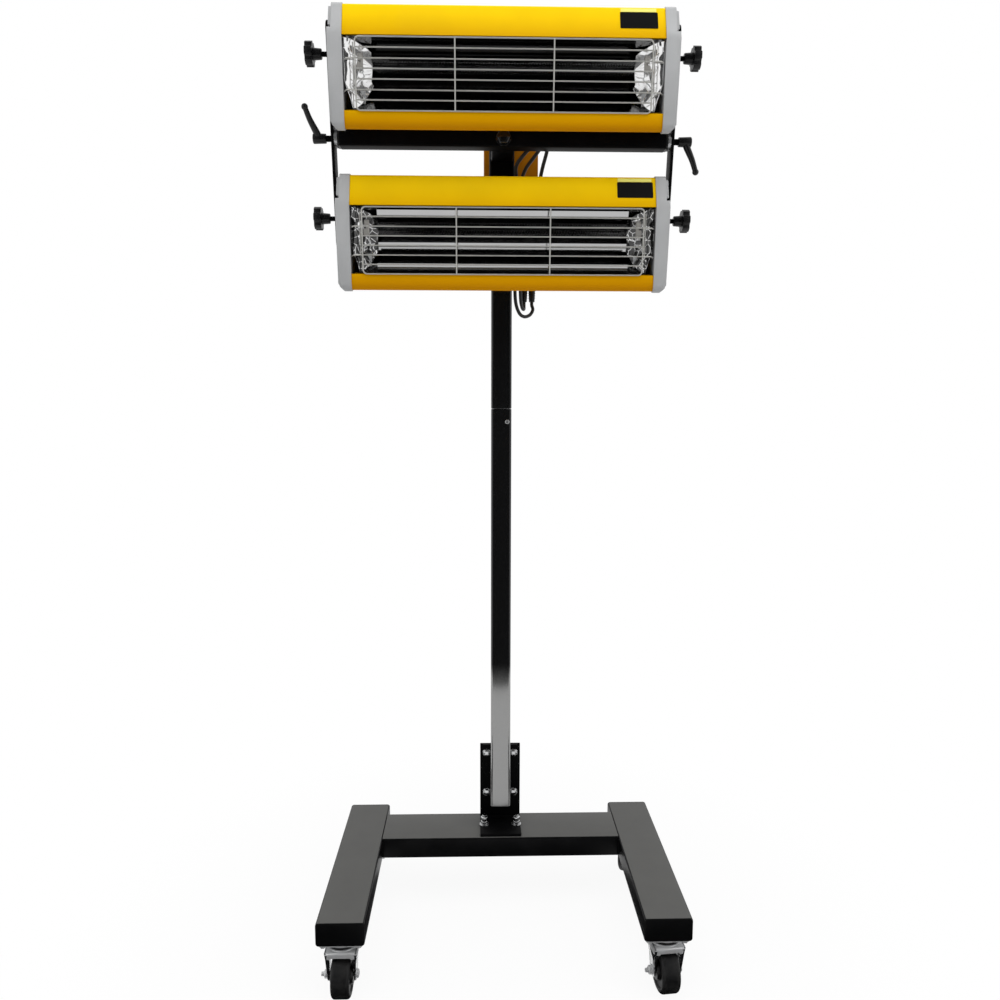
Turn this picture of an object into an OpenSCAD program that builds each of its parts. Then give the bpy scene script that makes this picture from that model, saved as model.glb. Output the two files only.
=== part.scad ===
// Infrared paint drying lamp: two tilting cassettes on swing arms, on a wheeled stand.
// The front is -Y, +Z is up, and the origin lies on the floor under the middle of the stand.

/* [Stand] */
// Width over the two legs
base_w = 620; // [560:10:700]
// Length of a leg tube
leg_len = 396; // [376:4:436]
// Width of a leg tube
leg_w = 80; // [72:2:90]
// Height of a leg tube
leg_h = 40; // [36:1:46]
// Wall of the leg tubes and of the cross tube
leg_wall = 2.5; // [2:0.5:4]
// How far the front of the legs reaches ahead of the origin
leg_front = 198; // [188:2:218]
// Depth of the cross tube
cross_d = 100; // [90:2:110]
// Flange of a leg's end plug
plug_flange = 2; // [1.5:0.5:3]
// How deep an end plug sits in its tube
plug_depth = 22; // [16:1:30]

/* [Casters] */
// Diameter of a caster wheel
wheel_d = 75; // [70:1:80]
// Width of a caster wheel
wheel_w = 31; // [26:1:33]
// Height from the floor to the underside of the legs
caster_h = 100; // [98:1:110]
// Distance from the end of a leg to the swivel axis
caster_in = 28; // [28:1:40]
// Distance from the swivel axis to the wheel's axle
caster_trail = 10; // [6:1:14]
// Thickness of the fork's sheet
fork_sheet = 3; // [2.5:0.5:3.5]
// Length of the mounting plate
plate_len = 56; // [52:1:56]
// Width of the mounting plate
plate_w = 74; // [72:1:78]
// Thickness of the mounting plate
plate_t = 3; // [2.5:0.5:4]
// Radius of the swivel race
race_r = 27; // [25:0.5:28]
// Radius of the swivel kingpin
kingpin_r = 5; // [4:0.5:6]
// Radius of a wheel axle
axle_r = 4; // [3.5:0.5:5]
// How far the front right caster is turned away from straight
caster_turn = 6; // [0:1:30]
// How far the rear right caster is turned outwards
rear_turn = 25; // [0:1:40]

/* [Mast] */
// Side of the square mast tube
mast_w = 38; // [36:1:40]
// Wall of the mast tube
mast_wall = 2; // [1.5:0.5:3]
// Distance of the mast axis behind the origin
mast_y = 110; // [105:1:115]
// Height of the mast's lower end
mast_low_z = 189; // [180:1:200]
// Height of the joint between the mast's two lengths
mast_joint_z = 970; // [900:5:1050]
// Height of the mast's upper end
mast_top_z = 1486; // [1460:2:1500]
// Length of the tube that joins the two lengths from inside
joiner_len = 180; // [120:5:240]
// How far the joint's screw sits below the seam
seam_screw_drop = 24; // [18:1:40]
// Gap between the joiner and the mast's wall
joiner_gap = 0.2; // [0.1:0.1:0.5]
// Width of the mast's foot bracket
bracket_w = 80; // [76:1:90]
// Thickness of the bracket's plates
bracket_t = 6; // [5:0.5:8]
// Height of the bracket's upright plate
bracket_h = 160; // [150:5:180]
// Width of the plate welded to the mast's back
flange_w = 70; // [68:1:76]
// Height of the plate welded to the mast's back
flange_h = 111; // [106:1:120]
// Thickness of the plate welded to the mast's back
flange_t = 4; // [3:0.5:5]
// Distance between the two columns of mast bolts
flange_bolts_x = 54; // [53:1:56]
// Distance between the two rows of mast bolts
flange_bolts_z = 83; // [70:1:90]
// Distance between the two foot bolts
foot_bolts_x = 64; // [58:1:64]

/* [Head] */
// Wall of the sleeve on the mast's top
sleeve_wall = 3.4; // [2.5:0.1:4]
// Height of the sleeve
sleeve_h = 130; // [110:2:140]
// Width of the neck between sleeve and crossbeam
neck_w = 40; // [32:1:42]
// Height of the neck
neck_h = 28; // [22:1:28]
// Wall of the neck
neck_wall = 3; // [2.5:0.5:4]
// Side of the square crossbeam
beam_s = 28; // [26:1:30]
// Wall of the crossbeam
beam_wall = 2; // [1.5:0.5:3]
// How far the crossbeam's axis lies behind the origin
beam_back = 10; // [5:1:15]
// Height of the crossbeam's axis
beam_z = 1424; // [1400:1:1440]
// Radius of the bolt through the crossbeam's middle
king_r = 8; // [6:0.5:8]

/* [Arms] */
// Width of a swing arm
arm_w = 30; // [28:1:32]
// Thickness of a swing arm
arm_t = 5; // [4:0.5:6]
// Half the length of a swing arm
arm_half = 178; // [165:1:190]
// Distance from the arm's pivot to a cassette's tilt axis
arm_reach = 128; // [126:1:132]
// Lean of the arms in the stored pose, upper end to the front
arm_lean = 10.5; // [6:0.5:12]
// Radius of the toothed disc between arm and crossbeam
tooth_disc_r = 15; // [13:0.5:16]
// Thickness of the toothed disc
tooth_disc_t = 5; // [4:0.5:7]
// Thickness of the friction disc between arm and cassette
friction_t = 1; // [0.5:0.5:2]
// Radius of the friction disc
friction_r = 14; // [12:0.5:15]
// Radius of a clamp lever's stud
lever_stud_r = 5; // [4:0.5:6]
// Radius of a clamp lever's hub
lever_hub_r = 8.5; // [8:0.5:10]
// Length of a clamp lever's hub
lever_hub_len = 22; // [18:1:26]
// Reach of a clamp lever from its axis to the end of the grip
lever_reach = 56; // [48:1:64]
// How far the grip's end stands out sideways from the hub
lever_out = 16; // [8:1:22]
// Radius of a star knob
star_r = 19.5; // [17:0.5:21]
// Thickness of a star knob's head
star_t = 12; // [10:0.5:14]
// Radius of a star knob's hub
star_hub_r = 9.5; // [8:0.5:11]
// Length of a star knob's hub
star_hub_len = 14; // [11:0.5:16]
// Radius of a star knob's stud
star_stud_r = 4; // [3:0.5:5]
// Bare stud between the arm and the hub
stud_bare = 10; // [6:0.5:12]

/* [Cassettes] */
// Height of a cassette
cas_h = 188; // [184:1:192]
// Depth of a cassette
cas_d = 72; // [70:1:74]
// Length of the yellow housing between the end caps
cas_len = 519; // [510:1:523]
// Thickness of an end cap
cap_t = 23.5; // [22:0.5:25]
// How much narrower the vented top of an end cap is
cap_step = 6; // [4:0.5:8]
// Height of the housing's sloped upper band
band_top = 51; // [46:1:54]
// Height of the housing's lower band
band_low = 25; // [22:1:28]
// How far the upper band leans back
band_back = 21; // [16:1:26]
// Rise of the underside towards the back, in degrees
under_rise = 38; // [32:1:44]
// Wall of the housing
cas_wall = 2; // [1.5:0.5:2.5]
// How far an end cap stands proud of the housing
cap_lip = 2; // [1:0.5:2.5]
// Wall of an end cap
cap_wall = 4; // [3:0.5:5]
// How far the vented top of an end cap is set in from its rim
cap_inset = 4; // [2:0.5:6]
// Width of the cut at an end cap's lower outer corner
cap_cut_w = 9; // [5:0.5:11]
// Height of the cut at an end cap's lower outer corner
cap_cut_h = 23; // [12:1:28]
// Distance of the tilt axis behind the front plane
axis_back = 45; // [42:1:48]
// Distance of the tilt axis above the cassette's middle
axis_up = 25; // [22:1:28]
// Tilt of the upper cassette in the stored pose, top to the front
upper_tilt = 6.3; // [0:0.1:8]
// Tilt of the lower cassette in the stored pose, top to the front
lower_tilt = 5.5; // [0:0.1:8]
// Width of the flat quartz twin tube
tube_w = 23; // [20:1:25]
// Thickness of the flat quartz twin tube
tube_t = 11; // [10:0.5:12]
// Length that a ceramic shoe and its neck add at each end of the quartz tube
shoe_len = 33.5; // [30:0.5:40]
// Diameter of a grille wire
wire_d = 3; // [2.4:0.2:3.2]
// Gap between the grille's frame and an end cap
grille_gap = 18; // [15:0.5:28]
// Number of wires along the grille
grille_wires = 8; // [6:1:10]

/* [Control box] */
// Width of the control box
box_w = 100; // [96:1:110]
// Height of the control box
box_h = 285; // [260:5:300]
// Depth of the control box without its lid
box_d = 58; // [52:1:60]
// Wall of the control box
box_wall = 2; // [1.5:0.5:3]
// Thickness of the box's rear lid
lid_t = 2; // [1.5:0.5:3]
// How far the box's middle stands to the right of the mast
box_x = 18; // [12:1:20]
// Radius of the timer knob
timer_r = 17; // [15:0.5:20]
// Height of the timer knob
timer_h = 17; // [14:0.5:18]
// Width of a rocker switch
rocker_w = 14; // [12:0.5:16]
// Height of a rocker switch
rocker_h = 22; // [20:0.5:26]
// Side of the timer works behind the lid
timer_body = 44; // [40:1:50]
// Depth of the timer works
timer_body_d = 30; // [26:1:34]
// Depth of a switch's body
switch_body_d = 24; // [20:1:28]
// Width of the terminal block
block_w = 60; // [50:1:70]
// Depth of the terminal block
block_d = 22; // [18:1:26]
// Height of the terminal block
block_h = 24; // [20:1:28]

/* [Leads] */
// Diameter of a lamp lead
lead_d = 6.5; // [6:0.5:7]
// Bore of the empty mains gland
mains_bore_r = 4.5; // [4:0.5:5.5]
// Length of a gland under the control box
gland_len = 32; // [28:1:34]

/* [Hidden] */

$fn = 48;
eps = 0.01;
// Radial clearance of every shaft, stud and pin in its hole
run_gap = 0.05;
// Clearance of a screw or bolt in a plate it only passes through
bolt_gap = 0.3;

// Heights and places on the stand
leg_z = caster_h;
leg_top_z = leg_z + leg_h;
leg_rear = leg_len - leg_front;
leg_x = base_w / 2 - leg_w / 2;
cross_len = base_w - 2 * leg_w;
foot_top_z = leg_top_z + bracket_t;
mast_back_y = mast_y + mast_w / 2;
upright_y = mast_back_y + flange_t;
foot_front_y = mast_y - cross_d / 2 + 4;
flange_low_z = mast_low_z;
flange_bolt_low_z = flange_low_z + 12;
foot_bolt_y = mast_y - 8;
bolt_m8_r = 4;
bolt_m8_head_r = 7.2;
bolt_m8_head_h = 5.3;
washer_t = 1.6;

// Casters
axle_z = wheel_d / 2;
race_cup_h = 5;
race_gap = 0.5;
race_top = 9;
axle_head_r = 7.4;
axle_head_h = 5.5;
kingpin_head_h = 6;
fork_plate_z = leg_z - plate_t - race_top;
fork_in_w = wheel_w + 10;
fork_out_w = fork_in_w + 2 * fork_sheet;
fork_foot_r = 10;
crown_front = race_r + 4;
crown_back = 16;
crown_lip = 7;
plate_bolt_in = 7.5;
plate_bolt_x = plate_w / 2 - plate_bolt_in;
plate_bolt_y = plate_len / 2 - plate_bolt_in;
front_caster_y = -leg_front + caster_in;
rear_caster_y = leg_rear - caster_in;

// Head
sleeve_out = mast_w + 2 * sleeve_wall + 0.2;
sleeve_top_z = mast_top_z + 4;
sleeve_low_z = sleeve_top_z - sleeve_h;
sleeve_front_y = mast_y - sleeve_out / 2;
beam_y = beam_back;
beam_back_y = beam_y + beam_s / 2;
plug_face = 4;
king_head_h = 10;
king_head_r = 12;
king_end = 2;
neck_plate = 8;
box_pad_h = 30;

// Arms and cassettes, with places given as [y, z]
cap_out = cas_len / 2 + cap_t;
arm_in = cap_out + friction_t;
arm_out = arm_in + arm_t;
beam_half = arm_in - tooth_disc_t;
tube_len = cas_len - 2 * shoe_len;
grille_half = cas_len / 2 - grille_gap;
arm_up = [-sin(arm_lean), cos(arm_lean)];
upper_axis = [beam_y, beam_z] + arm_reach * arm_up;
lower_axis = [beam_y, beam_z] - arm_reach * arm_up;
stud_in_cap = 14;
lever_stud_in = 26;

// Outline of a cassette, measured from its tilt axis: first back, then up
front_u = -axis_back;
rear_u = cas_d - axis_back;
low_v = -cas_h / 2 - axis_up;
top_v = cas_h / 2 - axis_up;
open_top_v = top_v - band_top;
open_low_v = low_v + band_low;
nose_r = 12;
heel_r = 16;
back_r = 30;
brow_r = 7;
slope = atan(band_back / band_top);
step_v = open_top_v + 11;
cap_vent_in = 0.8;
cap_boss_r = 10;
vent_count = 4;
vent_pitch = 9;
vent_w = 4;
vent_h = 18;

// Control box
box_low_z = sleeve_top_z - box_h;
box_front_y = mast_y + sleeve_out / 2;
box_back_y = box_front_y + box_d;
gland_y = box_front_y + 33.5;
gland_r = 7.4;
gland_a_x = 60;
gland_b_x = 45;
mains_gland_x = 2;
lead_r = lead_d / 2;
timer_z = box_low_z + box_h * 0.72;
rocker_z = [box_low_z + box_h * 0.46, box_low_z + box_h * 0.32];
control_x = box_x;
rocker_y = box_back_y - 3;
rocker_pin_r = 1.4;
rocker_pin_len = 1.6;

// Terminal covers on the cassettes' backs and the couplers behind the crossbeam
term_x = 69;
term_w = 50;
term_h = 40;
term_d = 24;
term_low_v = -45;
term_gland_r = 3.8;
term_gland_len = 12;
lead_x = [62, 70.2, 78.4];
coupler_y = 34;
coupler_z = [1432, 1456];
coupler_r = 3.9;

// Routes of the leads, in round numbers
top_route_yz = [[31.7, 1497.6], [32.8, 1487.6], [33.7, 1476], [34, 1466], [34, 1456]];
lead_a_loop_route = [[62, 34, 1432], [62, 34, 1428.5], [58, 37, 1426], [48, 45, 1422], [34, 62, 1411],
    [25, 78, 1399], [26.5, 92, 1375], [27, 100, 1340], [27.5, 110, 1300], [27.5, 118, 1260],
    [27, 124, 1225], [26, 130, 1195], [28, 137, 1168], [35, 144, 1150], [45, 151, 1144],
    [56, 158, 1148], [62, 164, 1158], [60, 166, 1167], [60, 166, 1173]];
lead_b_loop_route = [[70.2, 34, 1432], [70.2, 34, 1428.5], [66, 45, 1422], [54, 62, 1409],
    [41, 80, 1394], [35, 91, 1374], [34, 103, 1340], [34.5, 113, 1300], [35, 120, 1260],
    [35.5, 124, 1225], [36, 128, 1195], [37.5, 138, 1172], [41, 150, 1160], [44.5, 160, 1159],
    [45, 166, 1167], [45, 166, 1173]];
link_loop_route = [[78.4, 34, 1432], [78.4, 34, 1426], [76, 40, 1412], [70, 49, 1390],
    [66, 58, 1368], [66, 65, 1346], [68, 70, 1326], [69, 71.8, 1312], [69, 71.4, 1308.9]];

// Points of an arc round c, from angle a to angle b
function arc(c, r, a, b, n = 8) =
    [for (i = [0:n]) let (t = a + (b - a) * i / n) c + r * [cos(t), sin(t)]];

// Rectangle with round corners, centred
function round_rect(w, h, r, n = 4) = concat(
    arc([w / 2 - r, h / 2 - r], r, 0, 90, n),
    arc([-w / 2 + r, h / 2 - r], r, 90, 180, n),
    arc([-w / 2 + r, -h / 2 + r], r, 180, 270, n),
    arc([w / 2 - r, -h / 2 + r], r, 270, 360, n));

// Bar with full round ends along Y, centred
function stadium(w, half) = concat(
    arc([0, half - w / 2], w / 2, 0, 180, 12),
    arc([0, -half + w / 2], w / 2, 180, 360, 12));

// Centre of the arc between the top and the sloped band
brow_c = [front_u + (brow_r + (band_top - brow_r) * sin(slope)) / cos(slope), top_v - brow_r];

// Height at which the sloped band, set in by t, meets the front plane, set in by t
function brow_end(t) =
    brow_c[1] + (brow_r - t + (front_u + t - brow_c[0]) * cos(slope)) / sin(slope);

// Where the rising underside meets the back: centre of the heel's arc
heel_c = let (u = rear_u - heel_r,
        nose_c = [front_u + nose_r, low_v + nose_r],
        n = [sin(under_rise), -cos(under_rise)],
        d = nose_c * n + nose_r - heel_r)
    [u, (d - u * n[0]) / n[1]];

// Closed outline of the cassette's cross-section, set in by t
function cas_outline(t) = concat(
    arc([front_u + nose_r, low_v + nose_r], nose_r - t, 180, 270 + under_rise, 8),
    arc(heel_c, heel_r - t, 270 + under_rise, 360, 6),
    arc([rear_u - back_r, top_v - back_r], back_r - t, 0, 90, 8),
    arc(brow_c, brow_r - t, 90, 180 - slope, 4),
    [[front_u + t, brow_end(t)]]);

// Sweep of a round tube along the route's points
function unit(v) = v / norm(v);
function heading(p, i) = unit(p[min(i + 1, len(p) - 1)] - p[max(i - 1, 0)]);
function ring(c, dir, r, sides) = let (
        e = unit(cross(dir, [0, 1, 0])), f = cross(dir, e))
    [for (k = [0:sides - 1]) c + r * (cos(360 * k / sides) * e + sin(360 * k / sides) * f)];

module tube_along(route, r, sides = 10) {
    p = route;
    rings = len(p);
    points = [for (i = [0:rings - 1]) each ring(p[i], heading(p, i), r, sides)];
    walls = [for (i = [0:rings - 2]) for (k = [0:sides - 1])
        let (a = i * sides + k, b = i * sides + (k + 1) % sides)
        each [[a, b, b + sides], [a, b + sides, a + sides]]];
    ends = [[for (k = [0:sides - 1]) sides - 1 - k],
        [for (k = [0:sides - 1]) (rings - 1) * sides + k]];
    polyhedron(points, concat(walls, ends));
}

// Extrusion of a drawing, whose X lies along Y and whose Y lies along Z, from x0 to x1
module along_x(x0, x1) {
    translate([x0, 0, 0]) rotate([90, 0, 90]) linear_extrude(x1 - x0) children();
}

// Extrusion of a drawing, whose X lies along X and whose Y lies along Z, from y0 to y1
module along_y(y0, y1) {
    translate([0, y1, 0]) rotate([90, 0, 0]) linear_extrude(y1 - y0) children();
}

// Rod along X from x0 to x1
module rod_x(x0, x1, r) {
    translate([min(x0, x1), 0, 0]) rotate([0, 90, 0]) cylinder(r = r, h = abs(x1 - x0));
}

// Rod along Y from y0 to y1
module rod_y(y0, y1, r) {
    translate([0, y0, 0]) rotate([-90, 0, 0]) cylinder(r = r, h = y1 - y0);
}

// Six-sided bolt head or nut along Y from y0 to y1
module hex_y(y0, y1, r) {
    translate([0, y0, 0]) rotate([-90, 0, 0]) cylinder(r = r, h = y1 - y0, $fn = 6);
}

// Legs and cross tube

module leg(side) {
    color("#1b1b1d") translate([side * leg_x, 0, leg_z + leg_h / 2])
        along_y(-leg_front, leg_rear) difference() {
            polygon(round_rect(leg_w, leg_h, 4));
            polygon(round_rect(leg_w - 2 * leg_wall, leg_h - 2 * leg_wall, 2));
        }
}

module leg_left() { leg(-1); }
module leg_right() { leg(1); }

module cross_tube() {
    color("#1b1b1d") translate([0, mast_y, leg_z + leg_h / 2]) difference() {
        along_x(-cross_len / 2, cross_len / 2) difference() {
            polygon(round_rect(cross_d, leg_h, 4));
            polygon(round_rect(cross_d - 2 * leg_wall, leg_h - 2 * leg_wall, 2));
        }
        for (s = [-1, 1]) translate([s * foot_bolts_x / 2, foot_bolt_y - mast_y, -leg_h])
            cylinder(r = bolt_m8_r + bolt_gap, h = 2 * leg_h);
    }
}

module leg_plugs() {
    color("#101011") for (s = [-1, 1]) for (e = [[-leg_front, -1], [leg_rear, 1]])
        translate([s * leg_x, e[0], leg_z + leg_h / 2]) {
            along_y(e[1] < 0 ? -plug_flange : 0, e[1] < 0 ? 0 : plug_flange)
                polygon(round_rect(leg_w, leg_h, 5));
            along_y(e[1] < 0 ? 0 : -plug_depth, e[1] < 0 ? plug_depth : 0) difference() {
                polygon(round_rect(leg_w - 2 * leg_wall - 0.4, leg_h - 2 * leg_wall - 0.4, 2));
                polygon(round_rect(leg_w - 2 * leg_wall - 5, leg_h - 2 * leg_wall - 5, 2));
            }
        }
}

// Casters

module at_caster(side, rear) {
    translate([side * leg_x, rear ? rear_caster_y : front_caster_y, 0]) rotate([0, 0, rear ? 180 : 0])
        children();
}

module caster_plate() {
    difference() {
        union() {
            translate([0, 0, leg_z - plate_t]) linear_extrude(plate_t)
                polygon(round_rect(plate_w, plate_len, 6));
            translate([0, 0, leg_z - plate_t - race_cup_h]) cylinder(r = race_r, h = race_cup_h);
        }
        for (x = [-1, 1]) for (y = [-1, 1])
            translate([x * plate_bolt_x, y * plate_bolt_y, leg_z - plate_t - 1])
                cylinder(r = 3.2, h = plate_t + 2);
    }
    translate([0, 0, fork_plate_z - fork_sheet - kingpin_head_h])
        cylinder(r = kingpin_r, h = race_top + fork_sheet + kingpin_head_h);
    translate([0, 0, fork_plate_z - fork_sheet - kingpin_head_h - 0.2])
        cylinder(r = kingpin_r + 3.5, h = kingpin_head_h, $fn = 6);
    for (x = [-1, 1]) for (y = [-1, 1]) translate([x * plate_bolt_x, y * plate_bolt_y, 0]) {
        translate([0, 0, leg_z - plate_t - 4.2]) cylinder(r = 5.6, h = 4.2, $fn = 6);
        translate([0, 0, leg_z - plate_t]) cylinder(r = 3, h = plate_t);
    }
}

module caster_plates() {
    color("#b9babb") for (s = [-1, 1]) for (rear = [false, true]) at_caster(s, rear) caster_plate();
}

// Fork of a caster, trailing towards -Y, with the wheel's axle bolt and nut
module fork(turn) {
    ring_z = fork_plate_z - fork_sheet;
    rotate([0, 0, turn]) {
        difference() {
            union() {
                translate([0, 0, ring_z]) cylinder(r = race_r + 0.5, h = fork_sheet);
                translate([-fork_out_w / 2, -crown_front, ring_z])
                    cube([fork_out_w, crown_front + crown_back, fork_sheet]);
                translate([-fork_out_w / 2, -crown_front, ring_z - crown_lip])
                    cube([fork_out_w, fork_sheet, crown_lip + eps]);
                for (s = [-1, 1]) translate([s * (fork_in_w + fork_sheet) / 2, 0, 0])
                    along_x(-fork_sheet / 2, fork_sheet / 2) polygon(concat(
                        [[crown_back, ring_z + fork_sheet], [-crown_front, ring_z + fork_sheet]],
                        arc([-caster_trail, axle_z], fork_foot_r, 190, 325, 8)));
            }
            cylinder(r = kingpin_r + run_gap, h = 2 * caster_h);
            translate([0, -caster_trail, axle_z]) rod_x(-fork_out_w, fork_out_w, axle_r);
        }
        translate([0, 0, fork_plate_z]) difference() {
            cylinder(r = race_r - 1, h = race_top - race_cup_h - race_gap);
            translate([0, 0, -eps]) cylinder(r = kingpin_r + run_gap, h = race_top);
        }
        translate([0, -caster_trail, axle_z]) {
            rod_x(-fork_out_w / 2 - 1, fork_out_w / 2 + 1, axle_r);
            translate([-fork_out_w / 2 - axle_head_h, 0, 0]) rotate([0, 90, 0])
                cylinder(r = axle_head_r, h = axle_head_h, $fn = 6);
            translate([fork_out_w / 2, 0, 0]) rotate([0, 90, 0])
                cylinder(r = axle_head_r, h = axle_head_h, $fn = 6);
        }
    }
}

module wheel(turn) {
    rotate([0, 0, turn]) translate([0, -caster_trail, axle_z]) rotate([0, 90, 0]) difference() {
        rotate_extrude($fn = 64) polygon(concat(
            [[axle_r + run_gap, -fork_in_w / 2 + 0.3], [11, -fork_in_w / 2 + 0.3], [12, -wheel_w / 2 + 4],
            [wheel_d / 2 - 14, -wheel_w / 2 + 4], [wheel_d / 2 - 12, -wheel_w / 2]],
            arc([wheel_d / 2 - 6, -wheel_w / 2 + 6], 6, -90, 0, 4),
            arc([wheel_d / 2 - 6, wheel_w / 2 - 6], 6, 0, 90, 4),
            [[wheel_d / 2 - 12, wheel_w / 2], [wheel_d / 2 - 14, wheel_w / 2 - 4],
            [12, wheel_w / 2 - 4], [11, fork_in_w / 2 - 0.3], [axle_r + run_gap, fork_in_w / 2 - 0.3]]));
    }
}

module fork_front_left() { color("#b9babb") at_caster(-1, false) fork(0); }
module fork_front_right() { color("#b9babb") at_caster(1, false) fork(caster_turn); }
module fork_rear_left() { color("#b9babb") at_caster(-1, true) fork(0); }
module fork_rear_right() { color("#b9babb") at_caster(1, true) fork(-rear_turn); }
module wheel_front_left() { color("#151516") at_caster(-1, false) wheel(0); }
module wheel_front_right() { color("#151516") at_caster(1, false) wheel(caster_turn); }
module wheel_rear_left() { color("#151516") at_caster(-1, true) wheel(0); }
module wheel_rear_right() { color("#151516") at_caster(1, true) wheel(-rear_turn); }

// Mast and its bracket

module at_flange_bolts() {
    for (x = [-1, 1]) for (z = [-1, 1])
        translate([x * flange_bolts_x / 2, 0, flange_bolt_low_z + (z + 1) * flange_bolts_z / 2]) children();
}

module mast_bracket() {
    color("#121213") difference() {
        union() {
            translate([-bracket_w / 2, upright_y, leg_top_z]) cube([bracket_w, bracket_t, bracket_h]);
            translate([-bracket_w / 2, foot_front_y, leg_top_z])
                cube([bracket_w, upright_y + eps - foot_front_y, bracket_t]);
        }
        at_flange_bolts() rod_y(0, 2 * mast_y, bolt_m8_r + bolt_gap);
        for (s = [-1, 1]) translate([s * foot_bolts_x / 2, foot_bolt_y, 0])
            cylinder(r = bolt_m8_r + bolt_gap, h = 2 * leg_top_z);
    }
}

// Bolts of the mast's flange, and the two long bolts of the foot with doubled nuts
module bracket_bolts() {
    color("#c9cacb") {
        at_flange_bolts() {
            hex_y(mast_back_y - bolt_m8_head_h, mast_back_y, bolt_m8_head_r);
            rod_y(mast_back_y - eps, upright_y + bracket_t + 10, bolt_m8_r);
            hex_y(upright_y + bracket_t, upright_y + bracket_t + 6.5, bolt_m8_head_r);
        }
        for (s = [-1, 1]) translate([s * foot_bolts_x / 2, foot_bolt_y, 0]) {
            translate([0, 0, leg_z - bolt_m8_head_h])
                cylinder(r = bolt_m8_head_r, h = bolt_m8_head_h, $fn = 6);
            translate([0, 0, leg_z - eps]) cylinder(r = bolt_m8_r, h = foot_top_z + 20 - leg_z);
            translate([0, 0, foot_top_z]) cylinder(r = 9.5, h = washer_t);
            for (k = [0, 1]) translate([0, 0, foot_top_z + washer_t + k * 8.2])
                cylinder(r = bolt_m8_head_r, h = 6.8, $fn = 6);
        }
    }
}

module mast_tube(z0, z1) {
    translate([0, mast_y, z0]) linear_extrude(z1 - z0) difference() {
        polygon(round_rect(mast_w, mast_w, 4));
        polygon(round_rect(mast_w - 2 * mast_wall, mast_w - 2 * mast_wall, 2.2));
    }
}

module at_seam_screw() {
    translate([mast_w * 0.29, 0, mast_joint_z - seam_screw_drop]) children();
}

module mast_lower() {
    color("#161617") difference() {
        union() {
            mast_tube(mast_low_z, mast_joint_z);
            translate([-mast_w / 2 + mast_wall, mast_y - mast_w / 2 + mast_wall, mast_low_z])
                cube([mast_w - 2 * mast_wall, mast_w - 2 * mast_wall, mast_wall]);
            translate([-flange_w / 2, mast_back_y - eps, flange_low_z])
                cube([flange_w, flange_t + eps, flange_h]);
        }
        at_seam_screw() rod_y(0, mast_y, 2.5);
        at_flange_bolts() rod_y(0, 2 * mast_y, bolt_m8_r + bolt_gap);
    }
}

module mast_upper() {
    color("#161617") difference() {
        mast_tube(mast_joint_z, mast_top_z);
        translate([0, 0, sleeve_low_z + sleeve_h * 0.25]) rod_y(mast_y, 2 * mast_y, 3);
        translate([0, 0, sleeve_low_z + sleeve_h * 0.75]) rod_y(mast_y, 2 * mast_y, 3);
    }
}

module mast_joiner() {
    side = mast_w - 2 * mast_wall - 2 * joiner_gap;
    color("#8d8f91") difference() {
        translate([0, mast_y, mast_joint_z - joiner_len / 2]) linear_extrude(joiner_len) difference() {
            polygon(round_rect(side, side, 2.5));
            polygon(round_rect(side - 5, side - 5, 2));
        }
        at_seam_screw() rod_y(0, mast_y, 2.5);
    }
}

// Pan head screw of the joint and hidden screws of the sleeve
module mast_screws() {
    color("#2a2a2c") {
        at_seam_screw() translate([0, mast_y - mast_w / 2, 0]) {
            rod_y(-1.8, 0, 4);
            rod_y(-eps, 7, 2.4);
        }
        for (k = [0.25, 0.75]) translate([0, 0, sleeve_low_z + sleeve_h * k])
            rod_y(mast_y + mast_w / 2 - 8, mast_y + sleeve_out / 2, 2.9);
    }
}

// Head

module head_sleeve() {
    color("#121213") difference() {
        union() {
            translate([0, mast_y, sleeve_low_z]) linear_extrude(sleeve_h) difference() {
                polygon(round_rect(sleeve_out, sleeve_out, 5));
                polygon(round_rect(mast_w + 0.2, mast_w + 0.2, 4));
            }
            translate([0, mast_y, sleeve_top_z - 3]) linear_extrude(3)
                polygon(round_rect(sleeve_out, sleeve_out, 5));
            translate([0, 0, beam_z]) along_y(beam_back_y, sleeve_front_y + eps) difference() {
                polygon(round_rect(neck_w, neck_h, 3));
                polygon(round_rect(neck_w - 2 * neck_wall, neck_h - 2 * neck_wall, 1));
            }
            translate([0, 0, beam_z]) along_y(beam_back_y, beam_back_y + neck_plate)
                polygon(round_rect(neck_w, neck_h, 3));
        }
        translate([0, 0, beam_z]) rod_y(beam_y, beam_back_y + 20, king_r + bolt_gap);
        for (k = [0.25, 0.75]) translate([0, 0, sleeve_low_z + sleeve_h * k]) rod_y(mast_y, 2 * mast_y, 3);
    }
    // Pad that fills the gap between the mast and the lower end of the control box
    color("#121213") translate([-mast_w / 2 + 4, mast_back_y, box_low_z + 10])
        cube([mast_w - 8, box_front_y - mast_back_y, box_pad_h]);
}

module crossbeam() {
    tube_half = beam_half - plug_face;
    color("#121213") translate([0, beam_y, beam_z]) difference() {
        along_x(-tube_half, tube_half) difference() {
            polygon(round_rect(beam_s, beam_s, 3));
            polygon(round_rect(beam_s - 2 * beam_wall, beam_s - 2 * beam_wall, 1.2));
        }
        rod_y(-beam_s, beam_s, king_r + bolt_gap);
    }
}

// Threaded end plugs of the crossbeam, which the clamp levers screw into
module beam_plugs() {
    color("#121213") translate([0, beam_y, beam_z]) for (s = [-1, 1]) scale([s, 1, 1]) difference() {
        union() {
            along_x(beam_half - plug_face, beam_half) polygon(round_rect(beam_s, beam_s, 6));
            along_x(beam_half - 24, beam_half - plug_face + eps)
                polygon(round_rect(beam_s - 2 * beam_wall - 0.4, beam_s - 2 * beam_wall - 0.4, 1));
        }
        rod_x(beam_half - 30, beam_half + 1, lever_stud_r + run_gap);
    }
}

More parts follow.
